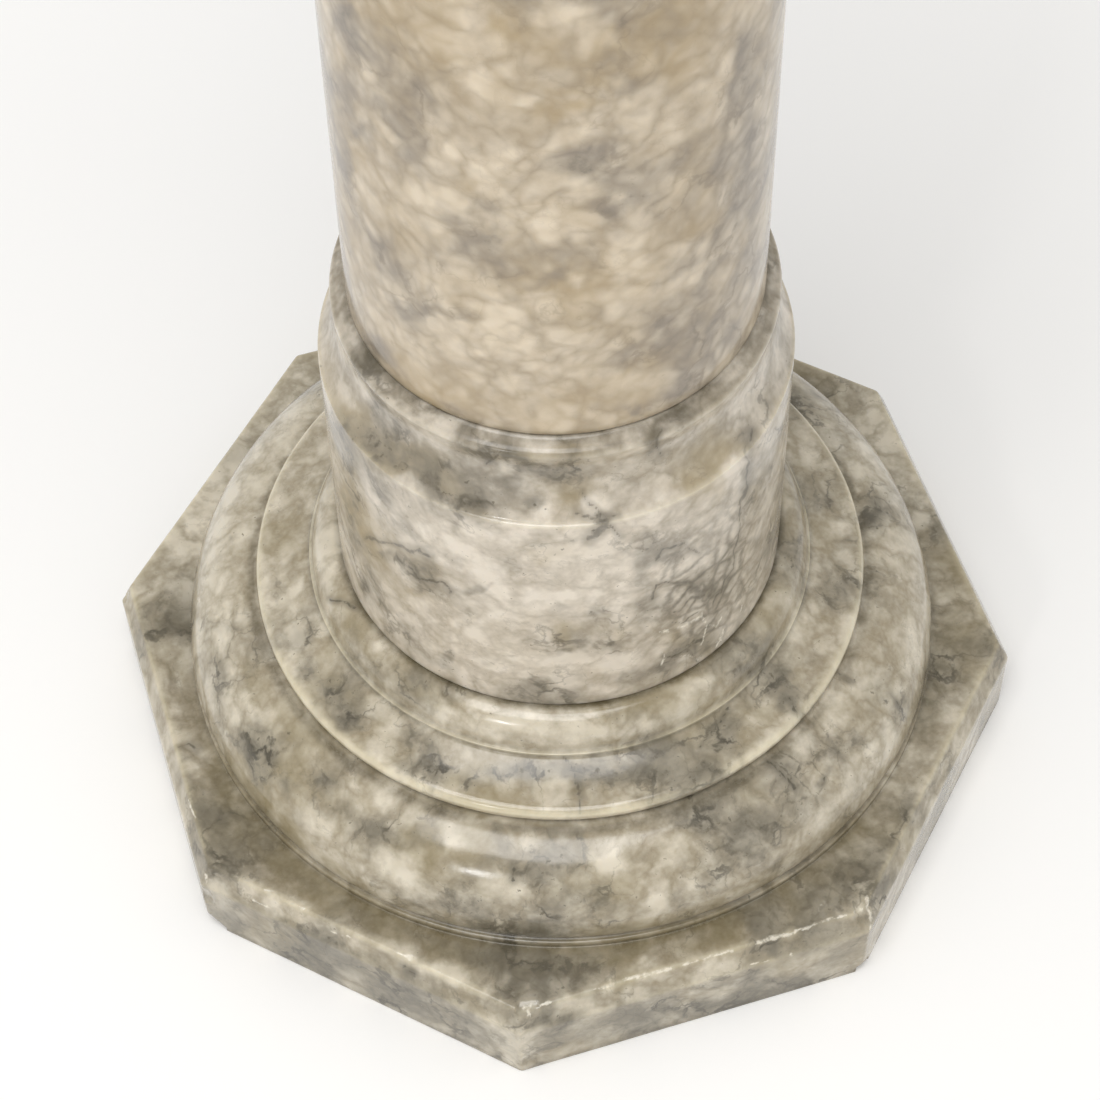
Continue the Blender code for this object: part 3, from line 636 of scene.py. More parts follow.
baseMarks = {
    "grey": [
        # band
        (560, 772, 130, 12, 0, 1.45), (302, 645, 15, 20, 20, 1.0), (310, 674, 14, 18, -30, 1.2),
        (345, 720, 14, 14, 40, 1.1), (434, 778, 9, 16, 0, 1.0), (472, 784, 14, 8, 20, 1.0),
        (421, 678, 12, 10, 40, 0.6), (722, 730, 18, 18, -40, 0.9), (665, 753, 16, 10, -20, 0.7),
        (774, 675, 12, 14, -40, 1.2), (794, 700, 14, 12, -40, 1.2), (745, 672, 12, 8, 0, 0.6),
        (828, 496, 16, 14, 0, 0.6), (800, 530, 8, 30, 0, 0.5), (342, 604, 14, 5, 20, 0.6),
        (720, 655, 26, 8, -30, 0.5),
        # torus
        (223, 626, 20, 6, 0, 0.7), (218, 670, 10, 10, 0, 0.7), (258, 748, 12, 14, 0, 1.0),
        (289, 786, 9, 11, 0, 0.9), (322, 783, 12, 9, 0, 0.7), (298, 818, 6, 20, -12, 0.8),
        (368, 826, 18, 11, 20, 0.6), (440, 799, 18, 10, 20, 0.8), (500, 838, 15, 26, 0, 1.0),
        (567, 900, 22, 14, 0, 0.6), (553, 930, 40, 9, -3, 1.0), (578, 835, 5, 16, 0, 0.5),
        (876, 510, 18, 24, 30, 1.2), (782, 772, 18, 14, 40, 0.6), (824, 777, 8, 10, 0, 0.6),
        (833, 751, 10, 10, 0, 0.5), (844, 675, 10, 7, 0, 0.8), (898, 704, 8, 14, 0, 0.6),
        (870, 744, 9, 8, 0, 0.4), (748, 830, 16, 16, 0, 0.5), (689, 816, 22, 14, 0, 0.5),
        (800, 810, 40, 20, -40, 0.5), (850, 730, 16, 40, 20, 0.35), (238, 545, 14, 20, 30, 0.9),
        (205, 590, 8, 40, 0, 0.4), (340, 760, 16, 10, 30, 0.3),
        # plinth
        (516, 966, 36, 22, 10, 0.9), (508, 984, 9, 16, 0, 0.8), (542, 990, 9, 20, 0, 0.9),
        (189, 752, 14, 10, 0, 0.8), (190, 782, 12, 14, 0, 0.8), (201, 808, 9, 12, 0, 0.7),
        (160, 690, 10, 10, 0, 0.4), (140, 620, 12, 14, 0, 0.5), (762, 928, 18, 18, 0, 1.1),
        (806, 925, 14, 7, 0, 0.9), (775, 948, 14, 7, 0, 1.0), (781, 866, 22, 9, -25, 0.6),
        (748, 900, 26, 6, -20, 0.6), (907, 811, 9, 16, 20, 0.9), (940, 529, 24, 16, 30, 0.7),
        (970, 590, 14, 20, 0, 0.4), (880, 850, 10, 24, 20, 0.5), (892, 880, 8, 18, 30, 1.0),
        (235, 915, 15, 10, 20, 0.7), (327, 948, 30, 12, 26, 0.8), (324, 972, 12, 8, 0, 0.9),
        (412, 972, 9, 9, 0, 1.1), (542, 1016, 10, 7, 0, 1.1), (564, 1020, 9, 4, 0, 0.8),
        (498, 1056, 10, 4, 20, 0.9), (636, 967, 4, 3, 0, 1.0), (815, 983, 12, 6, -15, 0.9),
        # (375, 985) and (700, 1005) darken the plinth's two front faces: partly the stone's grey, partly
        # painted shade on faces the lamps light less
        (265, 900, 12, 8, 20, 0.3), (375, 985, 130, 22, 24, 1.2), (700, 1005, 150, 18, -14, 1.1),
        (540, 965, 80, 18, 0, 0.8), (430, 945, 50, 12, 15, 0.4), (700, 930, 50, 12, -18, 0.5),
        (890, 800, 30, 16, -50, 0.4), (925, 720, 14, 60, 15, 0.5), (855, 780, 20, 30, 40, 0.3),
        (480, 815, 160, 8, 0, 0.25),
    ],
    "tan": [
        (350, 905, 70, 14, 28, 1.0), (470, 950, 70, 16, 12, 1.1), (620, 945, 70, 16, -10, 1.1),
        (740, 905, 60, 14, -28, 0.5), (560, 772, 110, 10, 0, 0.6), (420, 842, 16, 20, 0, 0.8),
        (600, 700, 60, 10, 0, 0.5), (342, 908, 12, 10, 0, 0.8), (284, 848, 18, 18, 45, 1.0),
        (410, 928, 70, 12, 14, 0.9), (252, 824, 14, 16, 40, 0.7), (690, 925, 60, 12, -12, 0.7),
        (710, 944, 44, 10, -20, 0.9), (846, 836, 14, 10, 0, 0.8), (622, 983, 12, 10, 0, 1.0),
        (540, 800, 120, 8, 0, 0.3), (960, 640, 20, 50, 0, 0.6), (930, 700, 16, 50, 15, 0.6),
        (330, 890, 50, 14, 30, 0.5), (214, 770, 10, 40, -20, 0.6), (640, 880, 60, 10, -8, 0.3),
        (350, 690, 10, 40, -30, 0.3), (255, 690, 8, 40, -15, 0.4), (334, 530, 9, 44, 0, 0.45),
    ],
    "cream": [
        (225, 470, 50, 60, 40, 0.9), (195, 520, 26, 46, 40, 0.6), (885, 430, 40, 60, -40, 0.9),
        (920, 500, 16, 40, -30, 0.6), (300, 400, 40, 40, 40, 0.7), (940, 620, 36, 80, -20, 0.5),
        # (215, 600), (295, 630) and (300, 720) lighten the left of the band and torus: partly lighter
        # stone, partly painted light on the side the lamps reach less
        (145, 590, 30, 26, 0, 0.4), (215, 600, 26, 80, 0, 0.8), (295, 630, 20, 70, -12, 0.8),
        # (540, 722), (560, 818), (475, 727), (606, 732), (610, 852) and (612, 866) on the roll, the nose
        # and the torus are partly lighter stone and partly painted highlights
        (300, 720, 30, 30, -40, 0.25), (880, 770, 60, 50, -50, 0.4), (540, 722, 110, 11, 0, 0.5),
        (266, 600, 7, 44, -8, 0.8), (403, 776, 52, 6, 30, 0.9), (560, 818, 120, 6, 0, 0.8),
        (760, 745, 60, 7, -42, 0.8), (475, 727, 36, 10, 8, 0.8), (606, 732, 30, 10, 0, 0.8),
        (318, 826, 18, 14, 20, 0.6), (240, 690, 16, 30, -20, 0.35), (375, 800, 26, 14, 30, 0.4),
        (392, 868, 22, 14, 20, 0.8), (452, 842, 12, 14, 0, 0.6), (610, 852, 18, 14, 0, 0.8),
        (656, 896, 12, 16, 0, 0.8), (696, 888, 9, 16, 0, 0.8), (730, 812, 10, 11, 0, 0.7),
        (612, 866, 20, 9, 0, 0.6), (846, 796, 12, 12, 0, 0.4), (312, 756, 14, 10, 0, 0.5),
        (232, 690, 10, 34, -10, 0.5), (860, 906, 26, 10, -15, 0.8), (299, 909, 14, 6, 20, 0.7),
        (607, 980, 14, 16, 0, 0.8), (645, 954, 16, 9, -15, 0.6), (222, 880, 14, 14, 0, 0.7),
        (280, 900, 30, 7, 24, 0.5), (345, 700, 8, 10, 0, 0.3), (322, 550, 6, 40, -8, 0.8),
        (385, 650, 22, 10, 40, 0.7), (300, 918, 70, 7, 22, 0.6), (450, 975, 70, 7, 22, 0.7),
        (505, 1032, 26, 20, 0, 0.9), (522, 1045, 18, 18, 0, 0.9), (650, 720, 12, 9, 0, 0.9),
        (850, 512, 8, 24, 0, 0.6), (400, 640, 20, 10, 30, 0.5), (332, 535, 11, 48, 0, 0.9),
        (350, 670, 12, 12, 0, 0.4), (520, 770, 30, 8, 0, 0.2), (620, 775, 30, 8, 0, 0.2),
        (800, 620, 10, 30, 30, 0.4), (690, 690, 24, 10, -30, 0.6), (742, 640, 10, 22, 25, 0.5),
        (775, 560, 7, 22, 0, 0.4), (580, 900, 12, 10, 0, 0.4), (775, 800, 14, 10, 0, 0.3),
    ],
    "net": [(860, 520, 24, 36, 0, 0.3), (230, 650, 20, 50, 0, 0.3), (800, 770, 40, 26, 0, 0.5)],
    "veins": [
        (1.5, [(564, 756), (572, 772), (575, 784), (581, 799), (580, 812)]),
        (1.2, [(765, 760), (774, 764), (784, 778), (795, 787)]),
        (1.2, [(818, 785), (824, 777), (829, 768)]), (1.3, [(510, 866), (515, 872), (513, 880)]),
        (1.3, [(331, 600), (342, 602), (354, 606)]), (1.3, [(440, 762), (436, 778), (430, 792)]),
        (1.0, [(836, 672), (846, 677), (854, 684)]), (1.2, [(180, 748), (190, 744), (199, 750)]),
        (1.0, [(789, 700), (797, 716), (802, 724)]), (1.0, [(560, 1018), (572, 1022)]),
        (1.0, [(700, 745), (716, 727), (730, 708)]), (0.9, [(891, 693), (899, 706), (905, 718)]),
        (1.0, [(404, 965), (414, 975)]),
    ],
    "scarsGlints": [
        # plinth's arrises: white lines, partly bruising and partly a painted highlight
        (1.5, [(625, 980), (650, 974), (670, 969)]), (0.8, [(680, 966), (710, 957)]),
        (1.2, [(710, 957), (735, 950)]), (1.6, [(755, 944), (770, 939), (786, 934)]),
        (1.1, [(790, 933), (815, 925)]), (0.9, [(820, 922), (848, 914)]), (0.8, [(750, 965), (770, 960)]),
        (1.6, [(791, 954), (793, 955)]), (1.1, [(803, 959), (806, 962)]), (1.2, [(786, 980), (787, 981)]),
        (1.0, [(817, 911), (820, 905), (825, 905)]), (0.8, [(819, 913), (824, 910)]),
        (1.4, [(855, 912), (865, 908)]), (1.5, [(867, 899), (867, 908), (871, 920)]),
        (1.0, [(871, 925), (869, 948)]), (1.8, [(524, 1008), (530, 1005)]),
        (1.3, [(530, 1006), (529, 1016)]), (1.0, [(540, 1005), (552, 1001)]),
        (0.9, [(593, 990), (612, 985)]), (1.4, [(300, 907), (304, 909)]), (1.0, [(205, 872), (207, 884)]),
        (0.8, [(253, 900), (272, 908)]), (0.8, [(330, 930), (352, 938)]), (0.9, [(395, 952), (410, 958)]),
        (0.8, [(188, 800), (195, 818)]), (1.0, [(198, 598), (200, 603)]), (0.8, [(905, 508), (906, 516)]),
        (0.7, [(900, 880), (906, 870)]), (0.7, [(917, 853), (923, 842)]),
    ],
}
baseChips = [
    (528, 1010, 8, 1.3), (211, 921, 12, 2.0), (205, 895, 9, 1.2), (865, 915, 8, 1.5), (866, 966, 7, 1.3),
    (820, 907, 5, 0.7), (122, 590, 8, 1.2), (530, 1060, 6, 0.9), (410, 958, 5, 0.5), (272, 897, 5, 0.5),
]


def makeBase():
    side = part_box("base_block")[1].x / mm
    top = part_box("base_block")[1].z / mm
    step, arris = base["step"], base["plinthArris"]
    topFlat = side - base["bevelIn"]
    plinthTop = base["sideHeight"] + base["bevelRise"]
    foot = topFlat - base["margin"]
    footTop = plinthTop + base["footRise"]
    torusEdge = foot - base["footStep"]
    torusMiddle = torusEdge - base["torus"]
    torusFoot = footTop + base["lip"]
    noseMiddle = torusMiddle - base["setOut"]
    noseHeight = torusFoot + base["torus"] + base["quirk"] + base["nose"]
    bandFoot = noseHeight + base["nose"]
    thin = noseMiddle - base["bandWidth"]
    bandTop = bandFoot + base["bandFall"]
    rollFoot = bandTop + base["thinRise"]
    seat = thin - base["ledge"] - base["rollWidth"]

    under = level(base["footRows"], 0)
    lower = eased((0, 0), (side, 0), (side, base["sideHeight"]), arris * base["underEase"])
    middle = eased((side, 0), (side, base["sideHeight"]), (topFlat, plinthTop), arris)
    upper = eased((side, base["sideHeight"]), (topFlat, plinthTop), (foot, plinthTop), arris)
    plinth = under + lower + run(lower[-1], middle[0], step)[1:-1] + middle
    plinth += run(middle[-1], upper[0], step)[1:-1] + upper
    # a last close row keeps the corner at the fillet crisp
    tread = run(upper[-1], (foot + base["closeRow"], plinthTop), step * 0.9)[1:]
    tread += [(foot - base["undercut"], plinthTop)]
    fillet = eased((foot, plinthTop), (foot, footTop), (torusMiddle, footTop), base["footArris"])
    rise = run((foot, plinthTop + base["riseFrom"]), fillet[0], step * 0.35) + fillet[1:]
    lip = arc((torusEdge - base["lip"], torusFoot), base["lip"], base["lip"], base["lipFrom"], 0, step)
    torus = arc((torusMiddle, torusFoot), base["torus"], base["torus"], 0, 90, step)
    nose = arc((noseMiddle, noseHeight), base["nose"], base["nose"], -90, 90, step)
    band = dished(nose[-1], (thin, bandTop), base["bandSag"], step)
    thinEdge = eased((thin, bandTop), (thin, rollFoot), (seat, rollFoot), base["ledgeArris"])
    roll = arc((seat, rollFoot), base["rollWidth"], base["rollRise"], base["rollFrom"], 90, step)
    rows = plinth + tread + rise + lip + torus[1:] + nose + band[1:] + thinEdge + roll
    rows += level((seat - base["topRow"], seat / 2, 0), top)
    octagon = np.zeros(len(rows))
    octagon[:len(plinth)] = 1
    octagon[len(plinth):len(plinth) + len(tread) - 1] = np.linspace(1, 0, len(tread))[1:]
    settings = dict(base)
    # darkening in the corners, the groove under the nose and the joints: partly dirt, partly painted shade
    settings["grimeAt"] = [
        (foot + 3, plinthTop, 10, 0.32), (foot + 0.2, plinthTop + 0.2, 0.8, 0.45),
        (torusEdge - 1.0, footTop + 0.5, 1.0, 0.4),
        (noseMiddle + 5.0, noseHeight - 4.4, 2.0, 0.55), (noseMiddle, noseHeight - 3.4, 1.2, 0.8),
        (thin, bandTop, 1.1, 0.4), (seat + base["rollWidth"], rollFoot, 0.7, 0.6), (seat, top, 1.4, 0.6),
        (side, 0, 3.0, 0.5),
    ]
    # paler arrises and the nose's cream line: partly rubbing, partly a painted highlight
    settings["arrisAt"] = [
        (side, base["sideHeight"], 1.2, 0.3), (topFlat, plinthTop, 1.4, 0.45),
        (noseMiddle + base["nose"] * 0.85, noseHeight + base["nose"] * 0.5, 1.8, 0.9),
        (thin, rollFoot, 0.7, 0.6), (side, 0, 0.8, 0.2),
    ]
    piece = turnStone("baseStone", rows, octagon, settings, makeAlabaster("base alabaster", baseLook))
    chipStone(piece, baseChips)
    markStone(piece, baseMarks)
    return piece


# The collar, a drum with a hollow and a rounded rim
collar = {
    "columns": 720, "crowding": 1.0, "cornerWear": 0.0, "cornerBlend": 0.001,
    "unevenness": 0.2, "waveLength": 26, "step": 1.1,
    "footRadius": 75.7, "headRadius": 75.4, "drumHeight": 101.5, "arris": 0.7, "hollowDepth": 3.0,
    "hollowRise": 24.2, "rim": 2.3, "rimMiddle": 67.5, "rimFrom": -25, "rimTurn": 75, "seat": 65.0,
    "footArris": 0.5, "footRows": (0, 50, 72), "topRows": (62, 40, 0),
}
collarMarks = {
    "grey": [
        # hollow
        (395, 455, 70, 30, 40, 1.1), (540, 480, 90, 26, 0, 0.7), (440, 486, 30, 13, 38, 0.8),
        (472, 504, 14, 11, 0, 0.8), (494, 450, 16, 10, 0, 0.9), (533, 505, 9, 6, 0, 1.2),
        (550, 474, 18, 8, 10, 0.8), (655, 441, 11, 14, 20, 1.2), (744, 437, 22, 15, -20, 1.1),
        (372, 445, 18, 12, 40, 1.0), (345, 440, 10, 26, -10, 0.6), (590, 470, 40, 9, 0, 0.4),
        (700, 470, 26, 12, -20, 0.6), (620, 452, 30, 8, -10, 0.6), (337, 430, 8, 30, -10, 0.6),
        (385, 420, 22, 8, 35, 0.5), (766, 400, 10, 20, 10, 0.6), (520, 458, 60, 10, 5, 0.4),
        # drum
        (602, 519, 10, 8, 0, 1.3), (746, 470, 7, 26, 0, 1.0), (738, 535, 13, 34, 8, 1.0),
        (716, 590, 24, 30, 20, 1.0), (692, 640, 30, 16, -10, 0.9), (648, 600, 14, 30, 0, 0.5),
        (660, 560, 30, 8, -10, 0.5), (480, 590, 18, 5, -8, 1.4), (392, 556, 24, 9, 25, 0.9),
        (414, 580, 20, 10, 35, 0.7), (506, 565, 12, 10, 0, 0.5), (560, 604, 9, 6, 0, 1.0),
        (450, 662, 8, 14, 0, 1.1), (494, 664, 10, 5, 0, 1.0), (620, 674, 34, 7, -12, 0.9),
        (353, 508, 7, 36, -8, 0.8), (362, 590, 12, 24, 0, 0.6), (775, 560, 12, 60, 0, 0.6),
        (404, 630, 14, 12, 0, 0.5), (590, 610, 5, 5, 0, 1.0), (610, 645, 8, 6, 0, 0.8),
    ],
    "tan": [
        (352, 428, 16, 22, -30, 1.4), (384, 460, 24, 12, 35, 1.5), (438, 476, 40, 16, 35, 1.2),
        (530, 470, 80, 22, 0, 0.4), (650, 460, 60, 18, -15, 0.4), (478, 512, 14, 8, 20, 1.0),
        (575, 496, 18, 8, 0, 0.45), (690, 478, 34, 16, -15, 0.6), (563, 636, 13, 12, 0, 0.9),
        (573, 652, 9, 8, 0, 0.6), (540, 560, 12, 6, 0, 0.4), (540, 452, 150, 7, 0, 0.6),
        (655, 436, 12, 10, 0, 0.8), (696, 640, 26, 14, 0, 0.9), (350, 490, 8, 30, 0, 0.5),
        (740, 560, 8, 40, 0, 0.4), (405, 450, 46, 26, 38, 0.7),
    ],
    "cream": [
        (590, 560, 50, 40, 0, 0.6), (470, 540, 50, 14, 0, 0.7), (550, 662, 60, 20, 0, 1.0),
        # (640, 520) is a painted highlight at the drum's top arris
        (640, 520, 40, 9, -15, 0.8), (731, 468, 12, 12, 0, 1.6), (405, 572, 10, 14, -30, 0.7),
        (460, 625, 40, 24, 0, 0.4), (430, 530, 26, 10, 25, 0.5), (520, 610, 30, 14, 0, 0.5),
        (770, 470, 8, 30, 0, 0.8), (668, 565, 16, 9, -20, 0.9), (706, 556, 10, 12, 0, 0.8),
        (672, 592, 16, 7, 0, 0.9), (588, 505, 8, 8, 0, 0.9), (690, 634, 9, 10, -30, 0.7),
        (600, 450, 26, 5, 0, 0.5), (510, 470, 16, 8, 10, 0.6),
    ],
    "net": [(690, 590, 44, 60, 0, 0.85), (740, 550, 24, 80, 0, 0.5), (420, 570, 40, 20, 25, 0.2)],
    "veins": [
        (2.2, [(579, 513), (592, 518), (606, 521)]), (1.5, [(606, 521), (614, 530), (621, 536)]),
        (2.0, [(606, 523), (597, 533), (587, 540)]), (1.4, [(606, 520), (620, 516)]),
        (1.3, [(600, 516), (590, 504), (584, 492)]), (1.2, [(501, 451), (497, 458), (487, 464)]),
        (1.4, [(663, 430), (654, 444), (660, 452)]),
        (1.5, [(752, 430), (745, 454), (748, 470), (744, 499)]),
        (0.8, [(744, 499), (738, 530), (736, 562), (724, 585), (712, 606)]),
        (0.9, [(672, 624), (688, 618), (703, 612)]),
        (0.9, [(663, 653), (672, 655), (688, 653), (700, 662)]),
        (1.3, [(654, 562), (663, 550), (684, 542), (699, 553)]),
        (1.3, [(651, 600), (655, 586), (672, 580)]), (1.3, [(675, 612), (688, 600), (704, 596)]),
        (1.4, [(366, 536), (385, 542), (404, 546), (429, 556)]),
        (1.2, [(395, 556), (405, 566), (420, 578), (440, 584), (450, 592)]),
    ],
    "scarsGlints": [
        (1.0, [(660, 632), (668, 631)]),
        (1.2, [(677, 628), (686, 624), (695, 620), (703, 617), (702, 610)]),
        (1.3, [(703, 618), (707, 624), (706, 629)]), (0.7, [(706, 629), (704, 637), (700, 646)]),
        (0.9, [(709, 624), (714, 626), (719, 622), (721, 616)]),
        (1.1, [(719, 627), (723, 631), (721, 639), (716, 643), (715, 647)]),
        (1.1, [(663, 652), (664, 658)]), (0.7, [(664, 658), (661, 666)]),
        (0.9, [(680, 656), (689, 655), (695, 658), (699, 660)]),
        (0.6, [(739, 599), (742, 604), (740, 611)]),
    ],
}
collarChips = [(698, 638, 15, 0.35)]


def makeCollar():
    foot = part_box("lower_collar")[0].z / mm
    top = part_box("lower_collar")[1].z / mm
    step = collar["step"]
    head = foot + collar["drumHeight"]
    rimHeight = head + collar["hollowRise"] + collar["rim"]
    drumFoot, drumHead = (collar["footRadius"], foot), (collar["headRadius"], head)
    lower = eased((0, foot), drumFoot, (collar["footRadius"], head), collar["footArris"])
    upper = eased(drumFoot, drumHead, (collar["rimMiddle"], head), collar["arris"])
    rimPlace, rimSize = (collar["rimMiddle"], rimHeight), collar["rim"]
    rim = arc(rimPlace, rimSize, rimSize, collar["rimFrom"], collar["rimTurn"], step * 0.6)
    rows = level(collar["footRows"], foot) + lower + run(lower[-1], upper[0], step)[1:-1] + upper
    rows += dished(upper[-1], rim[0], collar["hollowDepth"], step)[1:] + rim[1:]
    rows += run(rim[-1], (collar["seat"], top), step)[1:] + level(collar["topRows"], top)
    settings = dict(collar)
    # darkening at the foot, the seat, in the hollow and on the rim: partly dirt, partly painted shade
    settings["grimeAt"] = [
        (collar["footRadius"], foot, 1.2, 0.35), (collar["seat"], top, 3.4, 0.6), (69, head + 12, 9, 0.24),
        (collar["rimMiddle"] + 0.8, rimHeight + 2, 2.4, 0.45),
    ]
    # paler arrises: partly rubbing, partly a painted highlight
    settings["arrisAt"] = [
        (collar["headRadius"], head, 1.4, 0.6), (collar["rimMiddle"] + collar["rim"], rimHeight, 2.0, 0.3),
    ]
    material = makeAlabaster("collar alabaster", collarLook)
    piece = turnStone("collarStone", rows, np.zeros(len(rows)), settings, material)
    chipStone(piece, collarChips)
    markStone(piece, collarMarks)
    return piece, material


# The shaft, tapering a little, close rows of mesh only where the photograph shows it
shaft = {
    "columns": 384, "crowding": 1.0, "cornerWear": 0.0, "cornerBlend": 0.001,
    "unevenness": 0.2, "waveLength": 30, "step": 1.2, "farStep": 5.0, "closeUp": 190,
    "footRadius": 64.8, "headRadius": 62.3, "arris": 0.8, "footRows": (0, 40, 62), "topRows": (40, 0),
}
shaftMarks = {
    "grey": [
        (565, 163, 42, 18, 5, 0.8), (580, 158, 16, 10, 20, 0.5), (740, 60, 16, 60, 0, 0.6),
        (745, 150, 12, 50, 0, 0.6), (730, 220, 12, 40, 12, 0.5), (710, 280, 10, 30, 15, 0.4),
        (345, 22, 12, 16, 0, 0.8), (343, 180, 12, 140, 0, 0.5), (365, 129, 10, 10, 0, 0.7),
        (350, 80, 10, 40, 0, 0.35), (491, 144, 12, 10, 0, 0.4), (488, 240, 12, 6, 0, 0.5),
        (407, 309, 12, 8, 20, 0.5), (625, 90, 28, 12, -20, 0.5), (662, 322, 10, 4, -20, 0.6),
        (632, 411, 10, 5, 0, 0.7), (610, 208, 14, 10, 0, 0.5), (380, 350, 22, 14, 40, 0.6),
        (742, 345, 24, 22, -35, 0.6), (690, 330, 40, 16, -20, 0.3), (554, 278, 14, 8, 0, 0.4),
        (620, 350, 20, 14, 0, 0.35), (640, 195, 20, 8, 0, 0.3),
    ],
    "tan": [
        (344, 160, 14, 160, 0, 0.7), (508, 26, 26, 14, 0, 0.7), (405, 105, 16, 20, 0, 0.5),
        (560, 110, 30, 10, 0, 0.6), (672, 62, 26, 30, 0, 0.5), (468, 180, 24, 14, 0, 0.4),
        (440, 60, 20, 24, 0, 0.4), (700, 170, 26, 20, 0, 0.4), (690, 230, 26, 30, 0, 0.4),
        (400, 250, 24, 30, 0, 0.4), (520, 400, 120, 16, 0, 0.3), (640, 30, 30, 16, 0, 0.4),
    ],
    "cream": [
        (473, 18, 12, 24, 0, 0.8), (476, 78, 14, 10, 0, 0.8), (527, 99, 12, 8, 0, 0.9),
        (572, 18, 18, 22, 0, 0.7), (446, 196, 26, 20, 30, 0.8), (440, 158, 14, 12, 0, 0.6),
        (503, 308, 14, 12, 0, 0.9), (538, 300, 18, 8, 0, 0.9), (492, 336, 22, 14, 0, 0.9),
        (572, 279, 8, 8, 0, 0.8), (625, 262, 20, 24, 0, 0.6), (697, 264, 18, 16, 0, 0.6),
        (548, 226, 24, 16, 0, 0.5), (581, 345, 20, 10, 0, 0.5), (615, 198, 7, 7, 0, 0.9),
        (440, 330, 20, 20, 0, 0.4), (620, 380, 40, 10, 0, 0.4), (484, 236, 26, 18, 0, 0.45),
        (420, 290, 24, 14, 20, 0.4), (540, 330, 50, 22, 0, 0.4), (580, 22, 26, 20, 0, 0.3),
    ],
    "net": [],
    "veins": [
        (1.5, [(658, 322), (665, 317), (670, 314)]),
    ],
    "scarsGlints": [],
}


def makeShaft():
    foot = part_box("shaft")[0].z / mm
    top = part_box("shaft")[1].z / mm
    slope = (shaft["headRadius"] - shaft["footRadius"]) / (top - foot)
    midway = (shaft["footRadius"] + slope * shaft["closeUp"], foot + shaft["closeUp"])
    lower = eased((0, foot), (shaft["footRadius"], foot), midway, shaft["arris"])
    upper = eased(midway, (shaft["headRadius"], top), (0, top), shaft["arris"])
    rows = level(shaft["footRows"], foot) + lower + run(lower[-1], midway, shaft["step"])[1:]
    rows += run(midway, upper[0], shaft["farStep"])[1:-1] + upper + level(shaft["topRows"], top)
    settings = dict(shaft)
    # darkening at the joints of foot and head: partly dirt, partly painted shade
    settings["grimeAt"] = [(shaft["footRadius"], foot, 1.6, 0.4), (shaft["headRadius"], top, 2.0, 0.4)]
    settings["arrisAt"] = []
    material = makeAlabaster("shaft alabaster", shaftLook)
    piece = turnStone("shaftStone", rows, np.zeros(len(rows)), settings, material)
    markStone(piece, shaftMarks)
    return piece


# The neck drum and the cap stand above the photograph's edge and repeat the foot's forms, plainer
neck = {
    "columns": 384, "crowding": 1.0, "cornerWear": 0.0, "cornerBlend": 0.001,
    "unevenness": 0.2, "waveLength": 26, "step": 1.4, "rim": 2.3, "rimMiddle": 65.0,
    "hollowRise": 16.0, "hollowDepth": 2.0, "drum": 73.0, "arris": 0.6, "topArris": 0.4,
    "footRows": (0, 60), "topRows": (50, 0),
}


def makeNeck(material):
    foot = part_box("neck_drum")[0].z / mm
    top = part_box("neck_drum")[1].z / mm
    step = neck["step"]
    drumFoot = foot + 2 * neck["rim"] + neck["hollowRise"]
    rim = arc((neck["rimMiddle"], foot + neck["rim"]), neck["rim"], neck["rim"], -90, 90, step)
    lower = eased(rim[-1], (neck["drum"], drumFoot), (neck["drum"], top), neck["arris"])
    upper = eased((neck["drum"], drumFoot), (neck["drum"], top), (0, top), neck["topArris"])
    hollow = dished(rim[-1], lower[0], neck["hollowDepth"], step)[1:-1]
    rows = level(neck["footRows"], foot) + rim + hollow + lower
    rows += run(lower[-1], upper[0], step)[1:-1] + upper + level(neck["topRows"], top)
    settings = dict(neck)
    # darkening at the foot and head joints: partly dirt, partly painted shade; paler arrises: partly
    # rubbing, partly a painted highlight
    settings["grimeAt"] = [(neck["rimMiddle"], foot, 2.0, 0.6), (neck["drum"], top, 1.5, 0.8)]
    settings["arrisAt"] = [
        (neck["drum"], drumFoot, 1.2, 0.7), (neck["rimMiddle"] + neck["rim"], foot + neck["rim"], 1.8, 0.5),
    ]
    return turnStone("neckStone", rows, np.zeros(len(rows)), settings, material)


cap = {
    "columns": 480, "crowding": 1.4, "cornerWear": 0.0012, "cornerBlend": 0.0025,
    "unevenness": 0.25, "waveLength": 24, "step": 1.5, "nose": 3.3, "noseMiddle": 97.2, "round": 26.0,
    "bevel": 4.0, "arris": 1.0, "footRows": (0, 60), "topRows": (120, 80, 40, 0),
}


